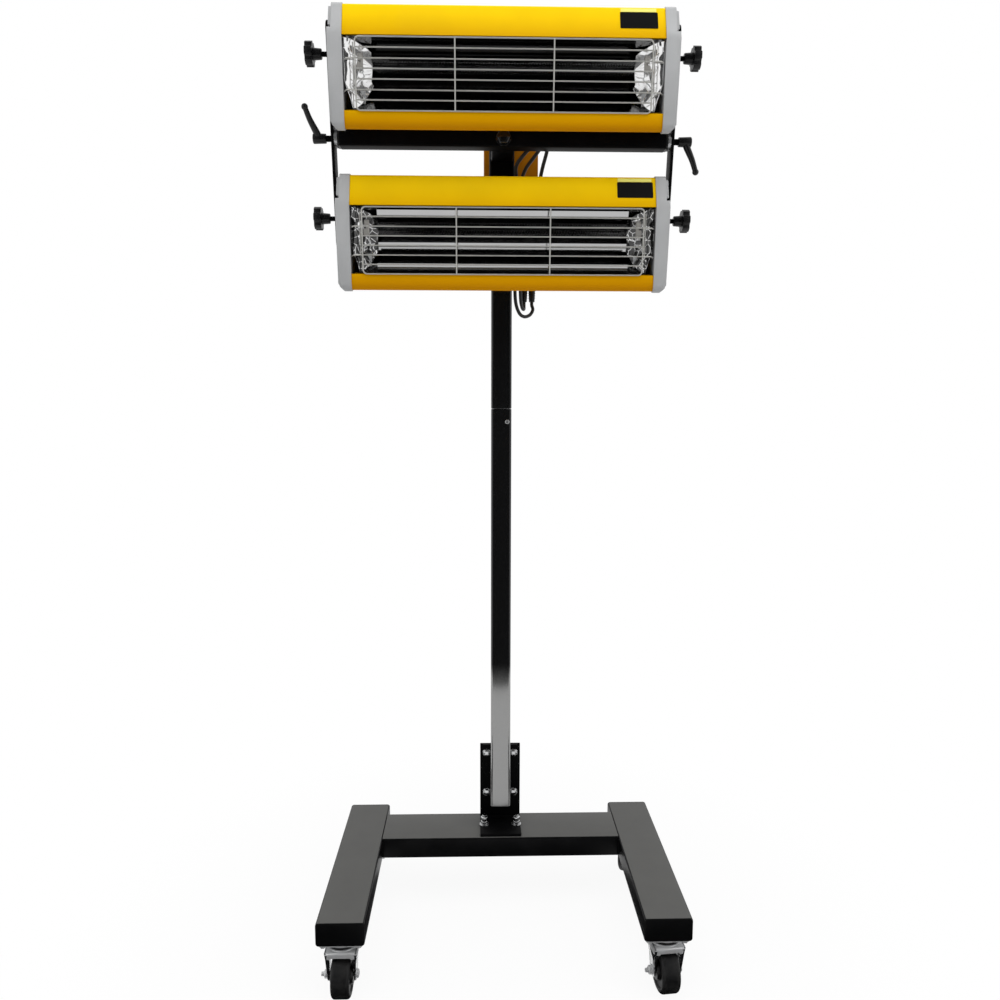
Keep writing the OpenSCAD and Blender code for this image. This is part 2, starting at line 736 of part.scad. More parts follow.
// Heavy bolt with washer and nut that clamps the crossbeam's middle to the neck
module king_bolt() {
    front = beam_y - beam_s / 2;
    color("#2b2b2d") translate([0, 0, beam_z]) {
        rod_y(front - washer_t, front, king_head_r + 1);
        hex_y(front - washer_t - king_head_h, front - washer_t, king_head_r);
        rod_y(front - washer_t - king_head_h - king_end, beam_back_y + 22, king_r);
        hex_y(beam_back_y + neck_plate, beam_back_y + neck_plate + 9, neck_h / 2 - neck_wall - 0.4);
    }
}

// Control box on the back of the mast

module control_box() {
    color("#e8b90c") difference() {
        translate([box_x, 0, box_low_z + box_h / 2]) along_y(box_front_y, box_back_y)
            polygon(round_rect(box_w, box_h, 5));
        translate([box_x, 0, box_low_z + box_h / 2]) along_y(box_front_y + box_wall, box_back_y + 1)
            polygon(round_rect(box_w - 2 * box_wall, box_h - 2 * box_wall, 3));
        for (x = [gland_a_x, gland_b_x, mains_gland_x]) translate([x, gland_y, box_low_z - 1])
            cylinder(r = gland_r - 1.4, h = box_wall + 2);
    }
}

module box_lid() {
    color("#26272a") difference() {
        translate([box_x, 0, box_low_z + box_h / 2]) along_y(box_back_y, box_back_y + lid_t)
            polygon(round_rect(box_w, box_h, 5));
        translate([control_x, 0, timer_z]) rod_y(box_front_y, 2 * box_back_y, 4 + run_gap);
        for (z = rocker_z) translate([control_x - rocker_w / 2 - 0.3, box_back_y - 1, z - rocker_h / 2 - 0.3])
            cube([rocker_w + 0.6, lid_t + 2, rocker_h + 0.6]);
    }
}

// Timer works, two switch bodies and a terminal block, inside the box
module control_gear() {
    switch_w = rocker_w + 4;
    switch_h = rocker_h + 6;
    color("#d8d6cf") {
        difference() {
            translate([control_x - timer_body / 2, box_back_y - timer_body_d, timer_z - timer_body / 2])
                cube([timer_body, timer_body_d, timer_body]);
            translate([control_x, 0, timer_z]) rod_y(box_back_y - 14, box_back_y + 1, 4 + run_gap);
        }
        for (z = rocker_z) difference() {
            translate([control_x - switch_w / 2, box_back_y - switch_body_d, z - switch_h / 2])
                cube([switch_w, switch_body_d, switch_h]);
            translate([control_x - rocker_w / 2 - bolt_gap, box_back_y - 9, z - rocker_h / 2 - bolt_gap])
                cube([rocker_w + 2 * bolt_gap, 10, rocker_h + 2 * bolt_gap]);
            translate([control_x, rocker_y, z])
                rod_x(-rocker_w / 2 - rocker_pin_len - 0.2, rocker_w / 2 + rocker_pin_len + 0.2,
                    rocker_pin_r + run_gap);
        }
        translate([control_x - block_w / 2, box_front_y + box_wall, box_low_z + 30])
            cube([block_w, block_d, block_h]);
    }
}

module timer_knob() {
    face_y = box_back_y + lid_t;
    color("#151516") translate([control_x, 0, timer_z]) {
        rod_y(box_back_y - 12, face_y + 2, 4);
        rod_y(face_y + 0.4, face_y + 4, timer_r + 2);
        difference() {
            rod_y(face_y + 4 - eps, face_y + timer_h, timer_r);
            for (a = [0:30:330]) rotate([0, a, 0]) translate([timer_r + 1.2, 0, 0])
                rod_y(face_y + 5, face_y + timer_h + 1, 2.4);
        }
    }
}

// Rocker of a switch, on short round pivots in the switch body's sides
module rocker(z) {
    color("#a01818") translate([control_x, rocker_y, z]) {
        rod_x(-rocker_w / 2 - rocker_pin_len, rocker_w / 2 + rocker_pin_len, rocker_pin_r);
        along_x(-rocker_w / 2, rocker_w / 2) polygon([[0, -rocker_h / 2 + 2.5], [4.6, -rocker_h / 2 + 1.4],
            [9, -rocker_h / 2 + 1], [6.2, 0], [7.4, rocker_h / 2 - 1], [4.6, rocker_h / 2 - 1.4],
            [0, rocker_h / 2 - 2.5], [-1.5, 0]]);
    }
}

module rocker_upper() { rocker(rocker_z[0]); }
module rocker_lower() { rocker(rocker_z[1]); }

// One gland under the control box; the bore is left open from end to end
module gland(x, bore) {
    translate([x, gland_y, box_low_z]) difference() {
        union() {
            translate([0, 0, -6]) cylinder(r = gland_r + 0.4, h = 6, $fn = 6);
            translate([0, 0, -gland_len])
                cylinder(r1 = gland_r - 2, r2 = gland_r - 0.8, h = gland_len - 6 + eps);
            translate([0, 0, -1]) cylinder(r = gland_r - 1.5, h = box_wall + 8);
        }
        translate([0, 0, -gland_len - 1]) cylinder(r = bore, h = gland_len + 20);
    }
}

module cable_glands() {
    color("#19191a") {
        gland(gland_a_x, lead_r - 0.6);
        gland(gland_b_x, lead_r - 0.6);
        gland(mains_gland_x, mains_bore_r);
    }
}

// Swing arms

module at_arms() {
    translate([0, beam_y, beam_z]) rotate([arm_lean, 0, 0]) children();
}

module swing_arm(side) {
    at_arms() difference() {
        along_x(side > 0 ? arm_in : -arm_out, side > 0 ? arm_out : -arm_in) polygon(stadium(arm_w, arm_half));
        rod_x(side * (arm_in - 1), side * (arm_out + 1), lever_stud_r + run_gap);
        for (k = [-1, 1]) translate([0, 0, k * arm_reach])
            rod_x(side * (arm_in - 1), side * (arm_out + 1), star_stud_r + run_gap);
    }
}

module arm_left() { color("#121213") swing_arm(-1); }
module arm_right() { color("#121213") swing_arm(1); }

// Toothed discs at the crossbeam and friction discs at the cassettes
module arm_discs() {
    teeth = 24;
    color("#9a9b9d") at_arms() for (s = [-1, 1]) {
        difference() {
            rod_x(s * beam_half, s * arm_in, tooth_disc_r);
            rod_x(s * (beam_half - 1), s * (arm_in + 1), lever_stud_r + run_gap);
            for (i = [0:teeth - 1]) rotate([i * 360 / teeth, 0, 0])
                translate([s * (beam_half + 3), 0, tooth_disc_r]) rotate([45, 0, 0])
                    cube([1.6, 2, 2], center = true);
        }
        for (k = [-1, 1]) translate([0, 0, k * arm_reach]) difference() {
            rod_x(s * cap_out, s * arm_in, friction_r);
            rod_x(s * (cap_out - 1), s * (arm_in + 1), star_stud_r + run_gap);
        }
    }
}

// Clamp lever: stud, hub and a tapered grip that ends in a ball, turned by the angle given
module clamp_lever(side, turn) {
    hub_in = arm_out + stud_bare;
    hub_out = hub_in + lever_hub_len;
    color("#131314") translate([0, beam_y, beam_z]) rotate([turn, 0, 0]) scale([side, 1, 1]) {
        rod_x(arm_in - lever_stud_in, hub_in + eps, lever_stud_r);
        rod_x(arm_out + 0.4, hub_in + eps, lever_stud_r + 2);
        rod_x(hub_in, hub_out, lever_hub_r);
        hull() {
            translate([hub_out - 9, 0, 0]) sphere(r = 7.6, $fn = 20);
            translate([hub_out - 9 + lever_out, 0, lever_reach - 5]) sphere(r = 4.6, $fn = 20);
        }
        translate([hub_out - 9 + lever_out, 0, lever_reach - 5]) sphere(r = 5.6, $fn = 20);
    }
}

module clamp_lever_left() { clamp_lever(-1, 36); }
module clamp_lever_right() { clamp_lever(1, 172); }

// Cassettes, each drawn round its tilt axis

module at_upper() {
    translate([0, upper_axis[0], upper_axis[1]]) rotate([upper_tilt, 0, 0]) children();
}

module at_lower() {
    translate([0, lower_axis[0], lower_axis[1]]) rotate([lower_tilt, 0, 0]) children();
}

module housing() {
    difference() {
        along_x(-cas_len / 2, cas_len / 2) difference() {
            polygon(cas_outline(0));
            polygon(cas_outline(cas_wall));
            translate([front_u - 1, open_low_v]) square([cas_wall + 2, open_top_v - open_low_v]);
        }
        translate([term_x - 8, rear_u - 5, term_low_v + term_h / 2 - 8]) cube([16, 10, 16]);
    }
}

// One end cap: a deep tray with a cut lower corner and a boss for the stud; above the step
// its outer part is set in all round and carries the vent slots
module end_cap() {
    x0 = cas_len / 2;
    x1 = x0 + cap_t;
    xs = x1 - cap_step;
    difference() {
        union() {
            along_x(x0, xs) polygon(cas_outline(-cap_lip));
            along_x(xs - eps, x1) intersection() {
                polygon(cas_outline(-cap_lip));
                translate([front_u - 10, low_v - 10]) square([cas_d + 20, step_v - low_v + 10]);
            }
            along_x(xs - eps, x1 - cap_vent_in) intersection() {
                polygon(cas_outline(cap_inset));
                translate([front_u - 10, low_v - 10]) square([cas_d + 20, cas_h + 20]);
            }
        }
        along_x(x0 - 1, xs - cap_wall) polygon(cas_outline(cap_wall));
        rod_x(x0 - 1, x1 + 1, star_stud_r + run_gap);
        for (i = [0:vent_count - 1]) translate([x1 - cap_step - 1, front_u + 12 + i * vent_pitch, step_v + 5])
            rotate([-slope, 0, 0]) cube([cap_step + 2, vent_w, vent_h]);
        along_y(front_u - 10, rear_u + 10) polygon([
            [x1 - cap_cut_w, low_v - cap_lip], [x1 + 1, low_v - cap_lip],
            [x1 + 1, low_v - cap_lip + cap_cut_h], [x1, low_v - cap_lip + cap_cut_h]]);
    }
    difference() {
        rod_x(x0 + 2, xs - cap_wall + eps, cap_boss_r);
        rod_x(x0, x1 + 1, star_stud_r + run_gap);
    }
}

module end_caps() {
    end_cap();
    mirror([1, 0, 0]) end_cap();
}

// Polished trough with slanted end sheets; it bears on the housing's lips
module reflector() {
    sheet = 1;
    mouth_top = [front_u + cas_wall, open_top_v - 1];
    mouth_low = [front_u + cas_wall, open_low_v + 1];
    back_top = [rear_u - 14, open_top_v - 16];
    back_low = [rear_u - 14, open_low_v + 44];
    half = cas_len / 2 - 6;
    difference() {
        along_x(-half, half) polygon([mouth_top, mouth_low, back_low, back_top]);
        along_x(-half + sheet, half - sheet) polygon([mouth_top + [-5, -sheet], mouth_low + [-5, sheet],
            mouth_low + [0, sheet], back_low + [-sheet, 0], back_top + [-sheet, 0], mouth_top + [0, -sheet]]);
        for (s = [-1, 1]) translate([0, tube_u, tube_v]) rod_x(s * (half - 4), s * (half + 4), 4);
    }
}
tube_u = front_u + 36;
tube_v = open_low_v + 77;

// Quartz twin tube: two bores in one flat glass body
module quartz_tube() {
    bore = (tube_t - 3) / 2;
    translate([0, tube_u, tube_v]) difference() {
        along_x(-tube_len / 2, tube_len / 2) polygon(stadium(tube_t, tube_w / 2));
        for (k = [-1, 1]) translate([0, 0, k * (tube_w - tube_t) / 2])
            rod_x(-tube_len / 2 + 6, tube_len / 2 - 6, bore);
    }
}

// Ceramic end shoes of the tube with the spring clips that hold them to the trough
module tube_holders() {
    half = cas_len / 2 - 6;
    translate([0, tube_u, tube_v]) for (s = [-1, 1]) {
        difference() {
            along_x(s > 0 ? tube_len / 2 - 9 : -half + 1, s > 0 ? half - 1 : -tube_len / 2 + 9)
                polygon(round_rect(tube_t + 5, tube_w + 4, 3));
            along_x(s > 0 ? tube_len / 2 - 10 : -tube_len / 2, s > 0 ? tube_len / 2 : -tube_len / 2 + 10)
                polygon(stadium(tube_t, tube_w / 2));
        }
        rod_x(s * (half - 1), s * (half + 5), 4);
    }
}

// Wire grille in front of the opening, with feet on the housing's lips
module grille() {
    r = wire_d / 2;
    u = front_u - r;
    top = open_top_v + 2;
    low = open_low_v - 2;
    pitch = (top - low) / (grille_wires - 1);
    translate([0, u, 0]) {
        for (i = [0:grille_wires - 1]) translate([0, 0, low + i * pitch]) rod_x(-grille_half, grille_half, r);
        for (x = [-1, -1 / 3, 1 / 3, 1]) translate([x * grille_half, 0, low]) cylinder(r = r, h = top - low);
    }
}

// Cover over the wires at the cassette's back, with a lead grommet at each given X,
// below it or above it
module terminal_cover(xs, above) {
    difference() {
        union() {
            translate([term_x - term_w / 2, rear_u, term_low_v]) cube([term_w, term_d, term_h]);
            for (x = xs) translate([x, rear_u + term_d / 2, term_low_v + (above ? term_h : -term_gland_len)])
                cylinder(r = term_gland_r, h = term_gland_len);
        }
        translate([term_x - term_w / 2 + 2, rear_u - 1, term_low_v + 2])
            cube([term_w - 4, term_d - 1, term_h - 4]);
    }
}

// Star knob with six lobes on a long stud
module star_knob(side, axis) {
    hub_in = arm_out + stud_bare;
    hub_out = hub_in + star_hub_len;
    translate([0, axis[0], axis[1]]) scale([side, 1, 1]) {
        rod_x(cap_out - stud_in_cap, hub_in + eps, star_stud_r);
        rod_x(hub_in, hub_out + eps, star_hub_r);
        difference() {
            rod_x(hub_out, hub_out + star_t, star_r);
            for (a = [0:60:300]) rotate([a, 0, 0]) translate([0, 0, star_r + 2.6])
                rod_x(hub_out - 1, hub_out + star_t + 1, 5.4);
        }
    }
}

housing_col = "#eec40e";
cap_col = "#b4b5b6";
mirror_col = "#dfe1e3";
glass_col = "#d9d4cc";
ceramic_col = "#c9c6c0";
wire_col = "#bfc0c1";
knob_col = "#131314";

module upper_housing() { color(housing_col) at_upper() housing(); }
module lower_housing() { color(housing_col) at_lower() housing(); }
module upper_caps() { color(cap_col) at_upper() end_caps(); }
module lower_caps() { color(cap_col) at_lower() end_caps(); }
module upper_reflector() { color(mirror_col) at_upper() reflector(); }
module lower_reflector() { color(mirror_col) at_lower() reflector(); }
module upper_tube() { color(glass_col) at_upper() quartz_tube(); }
module lower_tube() { color(glass_col) at_lower() quartz_tube(); }
module upper_holders() { color(ceramic_col) at_upper() tube_holders(); }
module lower_holders() { color(ceramic_col) at_lower() tube_holders(); }
module upper_grille() { color(wire_col) at_upper() grille(); }
module lower_grille() { color(wire_col) at_lower() grille(); }
module upper_terminal() { color("#1d1d1f") at_upper() terminal_cover(lead_x, false); }
module lower_terminal() { color("#1d1d1f") at_lower() terminal_cover([term_x], true); }
module upper_knob_left() { color(knob_col) star_knob(-1, upper_axis); }
module upper_knob_right() { color(knob_col) star_knob(1, upper_axis); }
module lower_knob_left() { color(knob_col) star_knob(-1, lower_axis); }
module lower_knob_right() { color(knob_col) star_knob(1, lower_axis); }

// Leads

// In-line couplers of the three leads, hidden behind the crossbeam
module lead_couplers() {
    color("#202022") for (x = lead_x) translate([x, coupler_y, coupler_z[0]])
        cylinder(r = coupler_r, h = coupler_z[1] - coupler_z[0]);
}

function top_route(x) = [for (q = top_route_yz) [x, q[0], q[1]]];

module lead_a_top() { color("#0f0f10") tube_along(top_route(lead_x[0]), lead_r); }
module lead_b_top() { color("#0f0f10") tube_along(top_route(lead_x[1]), lead_r); }
module link_top() { color("#0f0f10") tube_along(top_route(lead_x[2]), lead_r); }
module lead_a_loop() { color("#0f0f10") tube_along(lead_a_loop_route, lead_r); }
module lead_b_loop() { color("#0f0f10") tube_along(lead_b_loop_route, lead_r); }
module link_loop() { color("#0f0f10") tube_along(link_loop_route, lead_r); }

leg_left();
leg_right();
cross_tube();
leg_plugs();
caster_plates();
fork_front_left();
fork_front_right();
fork_rear_left();
fork_rear_right();
wheel_front_left();
wheel_front_right();
wheel_rear_left();
wheel_rear_right();
mast_bracket();
bracket_bolts();
mast_lower();
mast_upper();
mast_joiner();
mast_screws();
head_sleeve();
crossbeam();
beam_plugs();
king_bolt();
control_box();
box_lid();
control_gear();
timer_knob();
rocker_upper();
rocker_lower();
cable_glands();
arm_left();
arm_right();
arm_discs();
clamp_lever_left();
clamp_lever_right();
upper_housing();
upper_caps();
upper_reflector();
upper_tube();
upper_holders();
upper_grille();
upper_terminal();
upper_knob_left();
upper_knob_right();
lower_housing();
lower_caps();
lower_reflector();
lower_tube();
lower_holders();
lower_grille();
lower_terminal();
lower_knob_left();
lower_knob_right();
lead_couplers();
lead_a_top();
lead_b_top();
link_top();
lead_a_loop();
lead_b_loop();
link_loop();
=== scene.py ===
"""Dresses the infrared drying lamp: models its visible pieces and finishes, and sets the stage.

Lengths in the code are in millimetres unless a name says otherwise; the scene is in metres.
The front is -Y, +Z is up, and the origin lies on the floor under the middle of the stand.
"""

import math
from types import SimpleNamespace

import bmesh
import bpy
from bpy.props import FloatProperty, FloatVectorProperty, PointerProperty
from mathutils import Matrix, Vector


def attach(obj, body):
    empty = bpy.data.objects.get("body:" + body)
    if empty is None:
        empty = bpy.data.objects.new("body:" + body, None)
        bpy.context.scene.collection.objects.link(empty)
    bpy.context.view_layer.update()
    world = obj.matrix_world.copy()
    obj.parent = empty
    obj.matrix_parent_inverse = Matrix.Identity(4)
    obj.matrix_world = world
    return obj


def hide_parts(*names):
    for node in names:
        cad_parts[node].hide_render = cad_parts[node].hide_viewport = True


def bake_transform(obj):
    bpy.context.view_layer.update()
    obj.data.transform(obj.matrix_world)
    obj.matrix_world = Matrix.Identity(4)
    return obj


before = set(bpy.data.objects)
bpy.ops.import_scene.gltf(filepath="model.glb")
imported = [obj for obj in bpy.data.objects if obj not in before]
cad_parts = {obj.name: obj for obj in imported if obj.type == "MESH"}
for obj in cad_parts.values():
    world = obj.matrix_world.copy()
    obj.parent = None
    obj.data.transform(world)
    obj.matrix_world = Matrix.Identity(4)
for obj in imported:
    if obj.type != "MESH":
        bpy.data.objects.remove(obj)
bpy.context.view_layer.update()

bl_info = {
    "name": "Infrared drying lamp",
    "version": (1, 0, 0),
    "blender": (4, 5, 0),
    "location": "3D View > Sidebar > Drying lamp",
    "description": "Models and finishes the pieces of an infrared drying lamp",
    "category": "Object",
}

MM = 0.001
X, Y, Z = Vector((1, 0, 0)), Vector((0, 1, 0)), Vector((0, 0, 1))
SIDES = {"left": -1, "right": 1}
CASSETTES = {"upper": 1, "lower": -1}
SMOOTH_UNDER = 38  # Degrees between faces that are shaded as one surface


# Sizes and colours

def length(name, default, description):
    """A length in metres, given here in millimetres."""
    return FloatProperty(name=name, description=description, default=default * MM, unit="LENGTH",
                         precision=4)


def angle(name, degrees, description):
    """An angle in radians, given here in degrees."""
    return FloatProperty(name=name, description=description, default=math.radians(degrees),
                         subtype="ANGLE")


def tone(name, red, green, blue, description):
    """A colour given in screen values from 0 to 255."""
    linear = [(part / 255 / 12.92) if part < 10.3 else ((part / 255 + 0.055) / 1.055) ** 2.4
              for part in (red, green, blue)]
    return FloatVectorProperty(name=name, description=description, default=linear, subtype="COLOR",
                               min=0, max=1)


class StandSizes(bpy.types.PropertyGroup):
    """Sizes of the wheeled stand"""
    leg_x: length("Leg place", 270, "Distance of a leg's middle from the stand's middle")
    leg_w: length("Leg width", 80, "Width of a leg tube")
    leg_half: length("Half leg", 198, "Half the length of a leg tube")
    leg_low: length("Leg underside", 100, "Height of the legs' underside")
    leg_high: length("Leg top", 140, "Height of the legs' top")
    cross_near: length("Cross tube front", 60, "Front of the cross tube")
    cross_far: length("Cross tube back", 160, "Back of the cross tube")
    caster_y: length("Caster place", 170, "Distance of a swivel axis from the stand's middle")
    trail: length("Caster trail", 10, "Distance from the swivel axis to the axle")
    wheel_r: length("Wheel radius", 37.5, "Radius of a caster wheel")
    wheel_w: length("Wheel width", 31, "Width of a caster wheel")
    front_turn: angle("Front caster turn", 6, "How far the front right caster is turned")
    rear_turn: angle("Rear caster turn", 25, "How far the rear right caster is turned outwards")


class MastSizes(bpy.types.PropertyGroup):
    """Sizes of the mast and its head"""
    side: length("Mast side", 38, "Side of the square mast")
    y: length("Mast place", 110, "Distance of the mast behind the origin")
    low: length("Mast foot", 189, "Height of the mast's lower end")
    seam: length("Seam", 970, "Height of the joint between the two lengths")
    top: length("Mast top", 1486, "Height of the mast's upper end")
    sleeve: length("Sleeve side", 45, "Side of the sleeve on the mast's top")
    beam_y: length("Crossbeam place", 10, "Distance of the crossbeam behind the origin")
    beam_z: length("Crossbeam height", 1424, "Height of the crossbeam's axis")
    beam_s: length("Crossbeam side", 28, "Side of the square crossbeam")
    beam_half: length("Half crossbeam", 279, "Half the length of the crossbeam")


class ArmSizes(bpy.types.PropertyGroup):
    """Sizes of the swing arms, knobs and levers"""
    inner: length("Arm inside", 284, "Distance of an arm's inner side from the middle")
    outer: length("Arm outside", 289, "Distance of an arm's outer side from the middle")
    width: length("Arm width", 30, "Width of a swing arm")
    half: length("Half arm", 178, "Half the length of a swing arm")
    reach: length("Reach", 128, "Distance from the arm's pivot to a tilt axis")
    lean: angle("Lean", 10.5, "Lean of the arms, upper end to the front")
    star_r: length("Star knob radius", 19.5, "Radius of a star knob over its lobes")
    star_t: length("Star knob thickness", 12, "Thickness of a star knob's head")
    lever_reach: length("Lever reach", 56, "Reach of a clamp lever")


class CassetteSizes(bpy.types.PropertyGroup):
    """Sizes of a cassette, measured from its tilt axis"""
    half: length("Half housing", 259.5, "Half the length of the yellow housing")
    cap_out: length("Cap outside", 283, "Distance of an end cap's outer side from the middle")
    front: length("Front", 45, "Front plane, ahead of the tilt axis")
    rear: length("Rear", 27, "Back plane, behind the tilt axis")
    low: length("Low", 119, "Lowest point, below the tilt axis")
    top: length("Top", 69, "Highest point, above the tilt axis")
    open_top: length("Opening top", 18, "Upper lip of the opening, above the tilt axis")
    open_low: length("Opening foot", 94, "Lower lip of the opening, below the tilt axis")
    band_back: length("Band lean", 21, "How far the upper band leans back")
    nose: length("Nose radius", 12, "Radius of the lower front edge")
    heel: length("Heel radius", 16, "Radius of the lower back edge")
    back: length("Back radius", 30, "Radius of the upper back edge")
    brow: length("Brow radius", 7, "Radius of the upper front edge")
    under_rise: angle("Underside", 38, "Rise of the underside towards the back")
    upper_tilt: angle("Upper tilt", 6.3, "Tilt of the upper cassette")
    lower_tilt: angle("Lower tilt", 5.5, "Tilt of the lower cassette")
    tube_u: length("Tube depth", -9, "Place of the quartz tube, behind the tilt axis")
    tube_v: length("Tube height", -17, "Place of the quartz tube, above the tilt axis")
    wire_d: length("Wire", 3, "Diameter of a grille wire")
    grille_half: length("Half grille", 239, "Half the width of the grille")


class BoxSizes(bpy.types.PropertyGroup):
    """Sizes of the control box"""
    left: length("Left side", -32, "Left side of the box")
    right: length("Right side", 68, "Right side of the box")
    near: length("Front", 132.5, "Front of the box")
    far: length("Back", 190.5, "Back of the box without its lid")
    low: length("Underside", 1205, "Underside of the box")
    top: length("Top", 1490, "Top of the box")
    timer_z: length("Timer height", 1410.2, "Height of the timer knob")
    rocker_high: length("Upper rocker", 1336.1, "Height of the upper rocker")
    rocker_low: length("Lower rocker", 1296.2, "Height of the lower rocker")


class Colours(bpy.types.PropertyGroup):
    """Colours of the finishes"""
    yellow: tone("Yellow", 240, 198, 0, "Paint of the housings")
    strip: tone("Strip yellow", 236, 229, 118, "Bare strips above the plates")
    # Darker and more orange than the box's yellow: painted shade, for the shade between the cassettes where
    # the box sits
    box: tone("Box yellow", 176, 112, 14, "Paint of the control box")
    black: tone("Black", 8, 8, 9, "Powder coat of the frame")
    mast: tone("Mast black", 62, 62, 63, "Gloss paint of the mast")
    cap: tone("Cap grey", 167, 168, 169, "Paint of the end caps")
    zinc: tone("Zinc", 222, 223, 224, "Plating of bolts and casters")
    wire: tone("Wire", 206, 205, 200, "Grille wires")
    plastic: tone("Plastic", 13, 13, 14, "Black knobs and plugs")
    rubber: tone("Rubber", 11, 11, 12, "Wheels")
    jacket: tone("Jacket", 14, 14, 15, "Jacket of the leads")
    ceramic: tone("Ceramic", 176, 173, 168, "Ceramic shoes of the quartz tube")
    red: tone("Red", 176, 20, 16, "Rocker switches")


def in_mm(group):
    """A group's sizes, its lengths in millimetres and its angles in radians."""
    kinds = {prop.identifier: prop.subtype for prop in group.bl_rna.properties}
    return SimpleNamespace(**{
        name: getattr(group, name) / (1 if kinds[name] == "ANGLE" else MM) for name in group.__annotations__})


# Modelling

def deselect():
    if bpy.context.object and bpy.context.object.mode != "OBJECT":
        bpy.ops.object.mode_set(mode="OBJECT")
    bpy.ops.object.select_all(action="DESELECT")


def take(*pieces):
    """Selects these pieces alone; the first is the active one."""
    deselect()
    for piece in pieces:
        piece.select_set(True)
    bpy.context.view_layer.objects.active = pieces[0]


def fix(piece, name):
    """Names a fresh piece and puts its place into its mesh."""
    piece.name = name
    piece.data.name = name
    take(piece)
    bpy.ops.object.transform_apply(location=True, rotation=True, scale=True)
    return piece


def block(name, low, high):
    """A box between two corners."""
    deselect()
    low, high = Vector(low) * MM, Vector(high) * MM
    bpy.ops.mesh.primitive_cube_add(size=1, location=(low + high) / 2, scale=high - low)
    return fix(bpy.context.object, name)


def rod(name, start, end, radius, sides, end_radius=None, turned=0):
    """A round, six-sided or tapered bar between two points, turned about its own axis."""
    deselect()
    start, end = Vector(start) * MM, Vector(end) * MM
    heading = (end - start).to_track_quat("Z", "Y") @ Matrix.Rotation(turned, 3, "Z").to_quaternion()
    bpy.ops.mesh.primitive_cone_add(
        vertices=sides, radius1=radius * MM, radius2=(radius if end_radius is None else end_radius) * MM,
        depth=(end - start).length, location=(start + end) / 2, rotation=heading.to_euler())
    return fix(bpy.context.object, name)


def ball(name, centre, radius):
    deselect()
    bpy.ops.mesh.primitive_uv_sphere_add(segments=24, ring_count=14, radius=radius * MM,
                                         location=Vector(centre) * MM)
    return fix(bpy.context.object, name)


def bent(name, points, radius, sides, radii=None, closed=False):
    """A bar of round section along a line of points, made from a curve."""
    curve = bpy.data.curves.new(name, "CURVE")
    curve.dimensions = "3D"
    curve.bevel_depth = radius * MM
    curve.bevel_resolution = sides
    curve.use_fill_caps = not closed
    spline = curve.splines.new("POLY")
    spline.points.add(len(points) - 1)
    spline.use_cyclic_u = closed
    for index, point in enumerate(points):
        spline.points[index].co = (*(Vector(point) * MM), 1)
        spline.points[index].radius = radii[index] if radii else 1
    piece = bpy.data.objects.new(name, curve)
    bpy.context.scene.collection.objects.link(piece)
    take(piece)
    bpy.ops.object.convert(target="MESH")
    return fix(bpy.context.object, name)


def middle(part):
    """The middle of a face, edge or vertex of a piece being shaped."""
    if hasattr(part, "calc_center_median"):
        return part.calc_center_median() / MM
    if hasattr(part, "verts"):
        return (part.verts[0].co + part.verts[1].co) / 2 / MM
    return part.co / MM


def slant(edge, way):
    """How far an edge runs along an axis: 1 when parallel to it, 0 when square to it."""
    return abs((edge.verts[1].co - edge.verts[0].co).normalized().dot(way))


def facing(way, test=None):
    """Chooses the faces that look along way and whose middle passes test."""
    return lambda face: face.normal.dot(way) > 0.9 and (test is None or test(middle(face)))


def ends(face):
    """Chooses the faces at both ends along X."""
    return abs(face.normal.x) > 0.9


def along(way, test=None):
    """Chooses the edges that run along way and whose middle passes test."""
    return lambda edge: slant(edge, way) > 0.99 and (test is None or test(middle(edge)))


def everywhere(part):
    return True


def work(piece, kind, test, *steps):
    """Opens a piece in edit mode, selects the parts that test accepts, and runs operators on them.

    kind is FACE, EDGE or VERT; each step is an operator and its settings.
    """
    take(piece)
    bpy.ops.object.mode_set(mode="EDIT")
    bpy.ops.mesh.select_mode(type=kind)
    bpy.ops.mesh.select_all(action="DESELECT")
    mesh = bmesh.from_edit_mesh(piece.data)
    mesh.normal_update()
    chosen = [part for part in getattr(mesh, {"FACE": "faces", "EDGE": "edges", "VERT": "verts"}[kind])
              if test(part)]
    if not chosen:
        raise RuntimeError(f"{piece.name}: nothing here to shape")
    for part in chosen:
        part.select_set(True)
    bmesh.update_edit_mesh(piece.data)
    for operator, settings in steps:
        operator(**settings)
    bpy.ops.object.mode_set(mode="OBJECT")
    return piece


def bevel(width, segments):
    return bpy.ops.mesh.bevel, dict(offset=width * MM, segments=segments, affect="EDGES", profile=0.5)


def cut(point, normal, clear=False):
    """A flat cut through a piece; clear takes off what lies beyond it."""
    return bpy.ops.mesh.bisect, dict(plane_co=Vector(point) * MM, plane_no=normal, use_fill=clear,
                                     clear_outer=clear)


def push(way, distance):
    """Extrudes the chosen faces."""
    return bpy.ops.mesh.extrude_region_move, dict(
        TRANSFORM_OT_translate={"value": Vector(way) * distance * MM})


def inset(width, depth=0):
    return bpy.ops.mesh.inset, dict(thickness=width * MM, depth=depth * MM)


def nudge(x, y, z):
    """Moves the chosen parts."""
    return bpy.ops.transform.translate, dict(value=(x * MM, y * MM, z * MM))


REMOVE_FACES = (bpy.ops.mesh.delete, dict(type="FACE"))


def modify(piece, kind, **settings):
    """Adds a modifier and applies it."""
    take(piece)
    modifier = piece.modifiers.new(kind.lower(), kind)
    for key, value in settings.items():
        setattr(modifier, key, value)
    bpy.ops.object.modifier_apply(modifier=modifier.name)
    return piece


def discard(*pieces):
    for piece in pieces:
        bpy.data.objects.remove(piece)


def carve(piece, *cutters):
    """Takes the cutters' shapes out of a piece."""
    for cutter in cutters:
        modify(piece, "BOOLEAN", object=cutter, operation="DIFFERENCE", solver="EXACT")
        discard(cutter)
    return piece


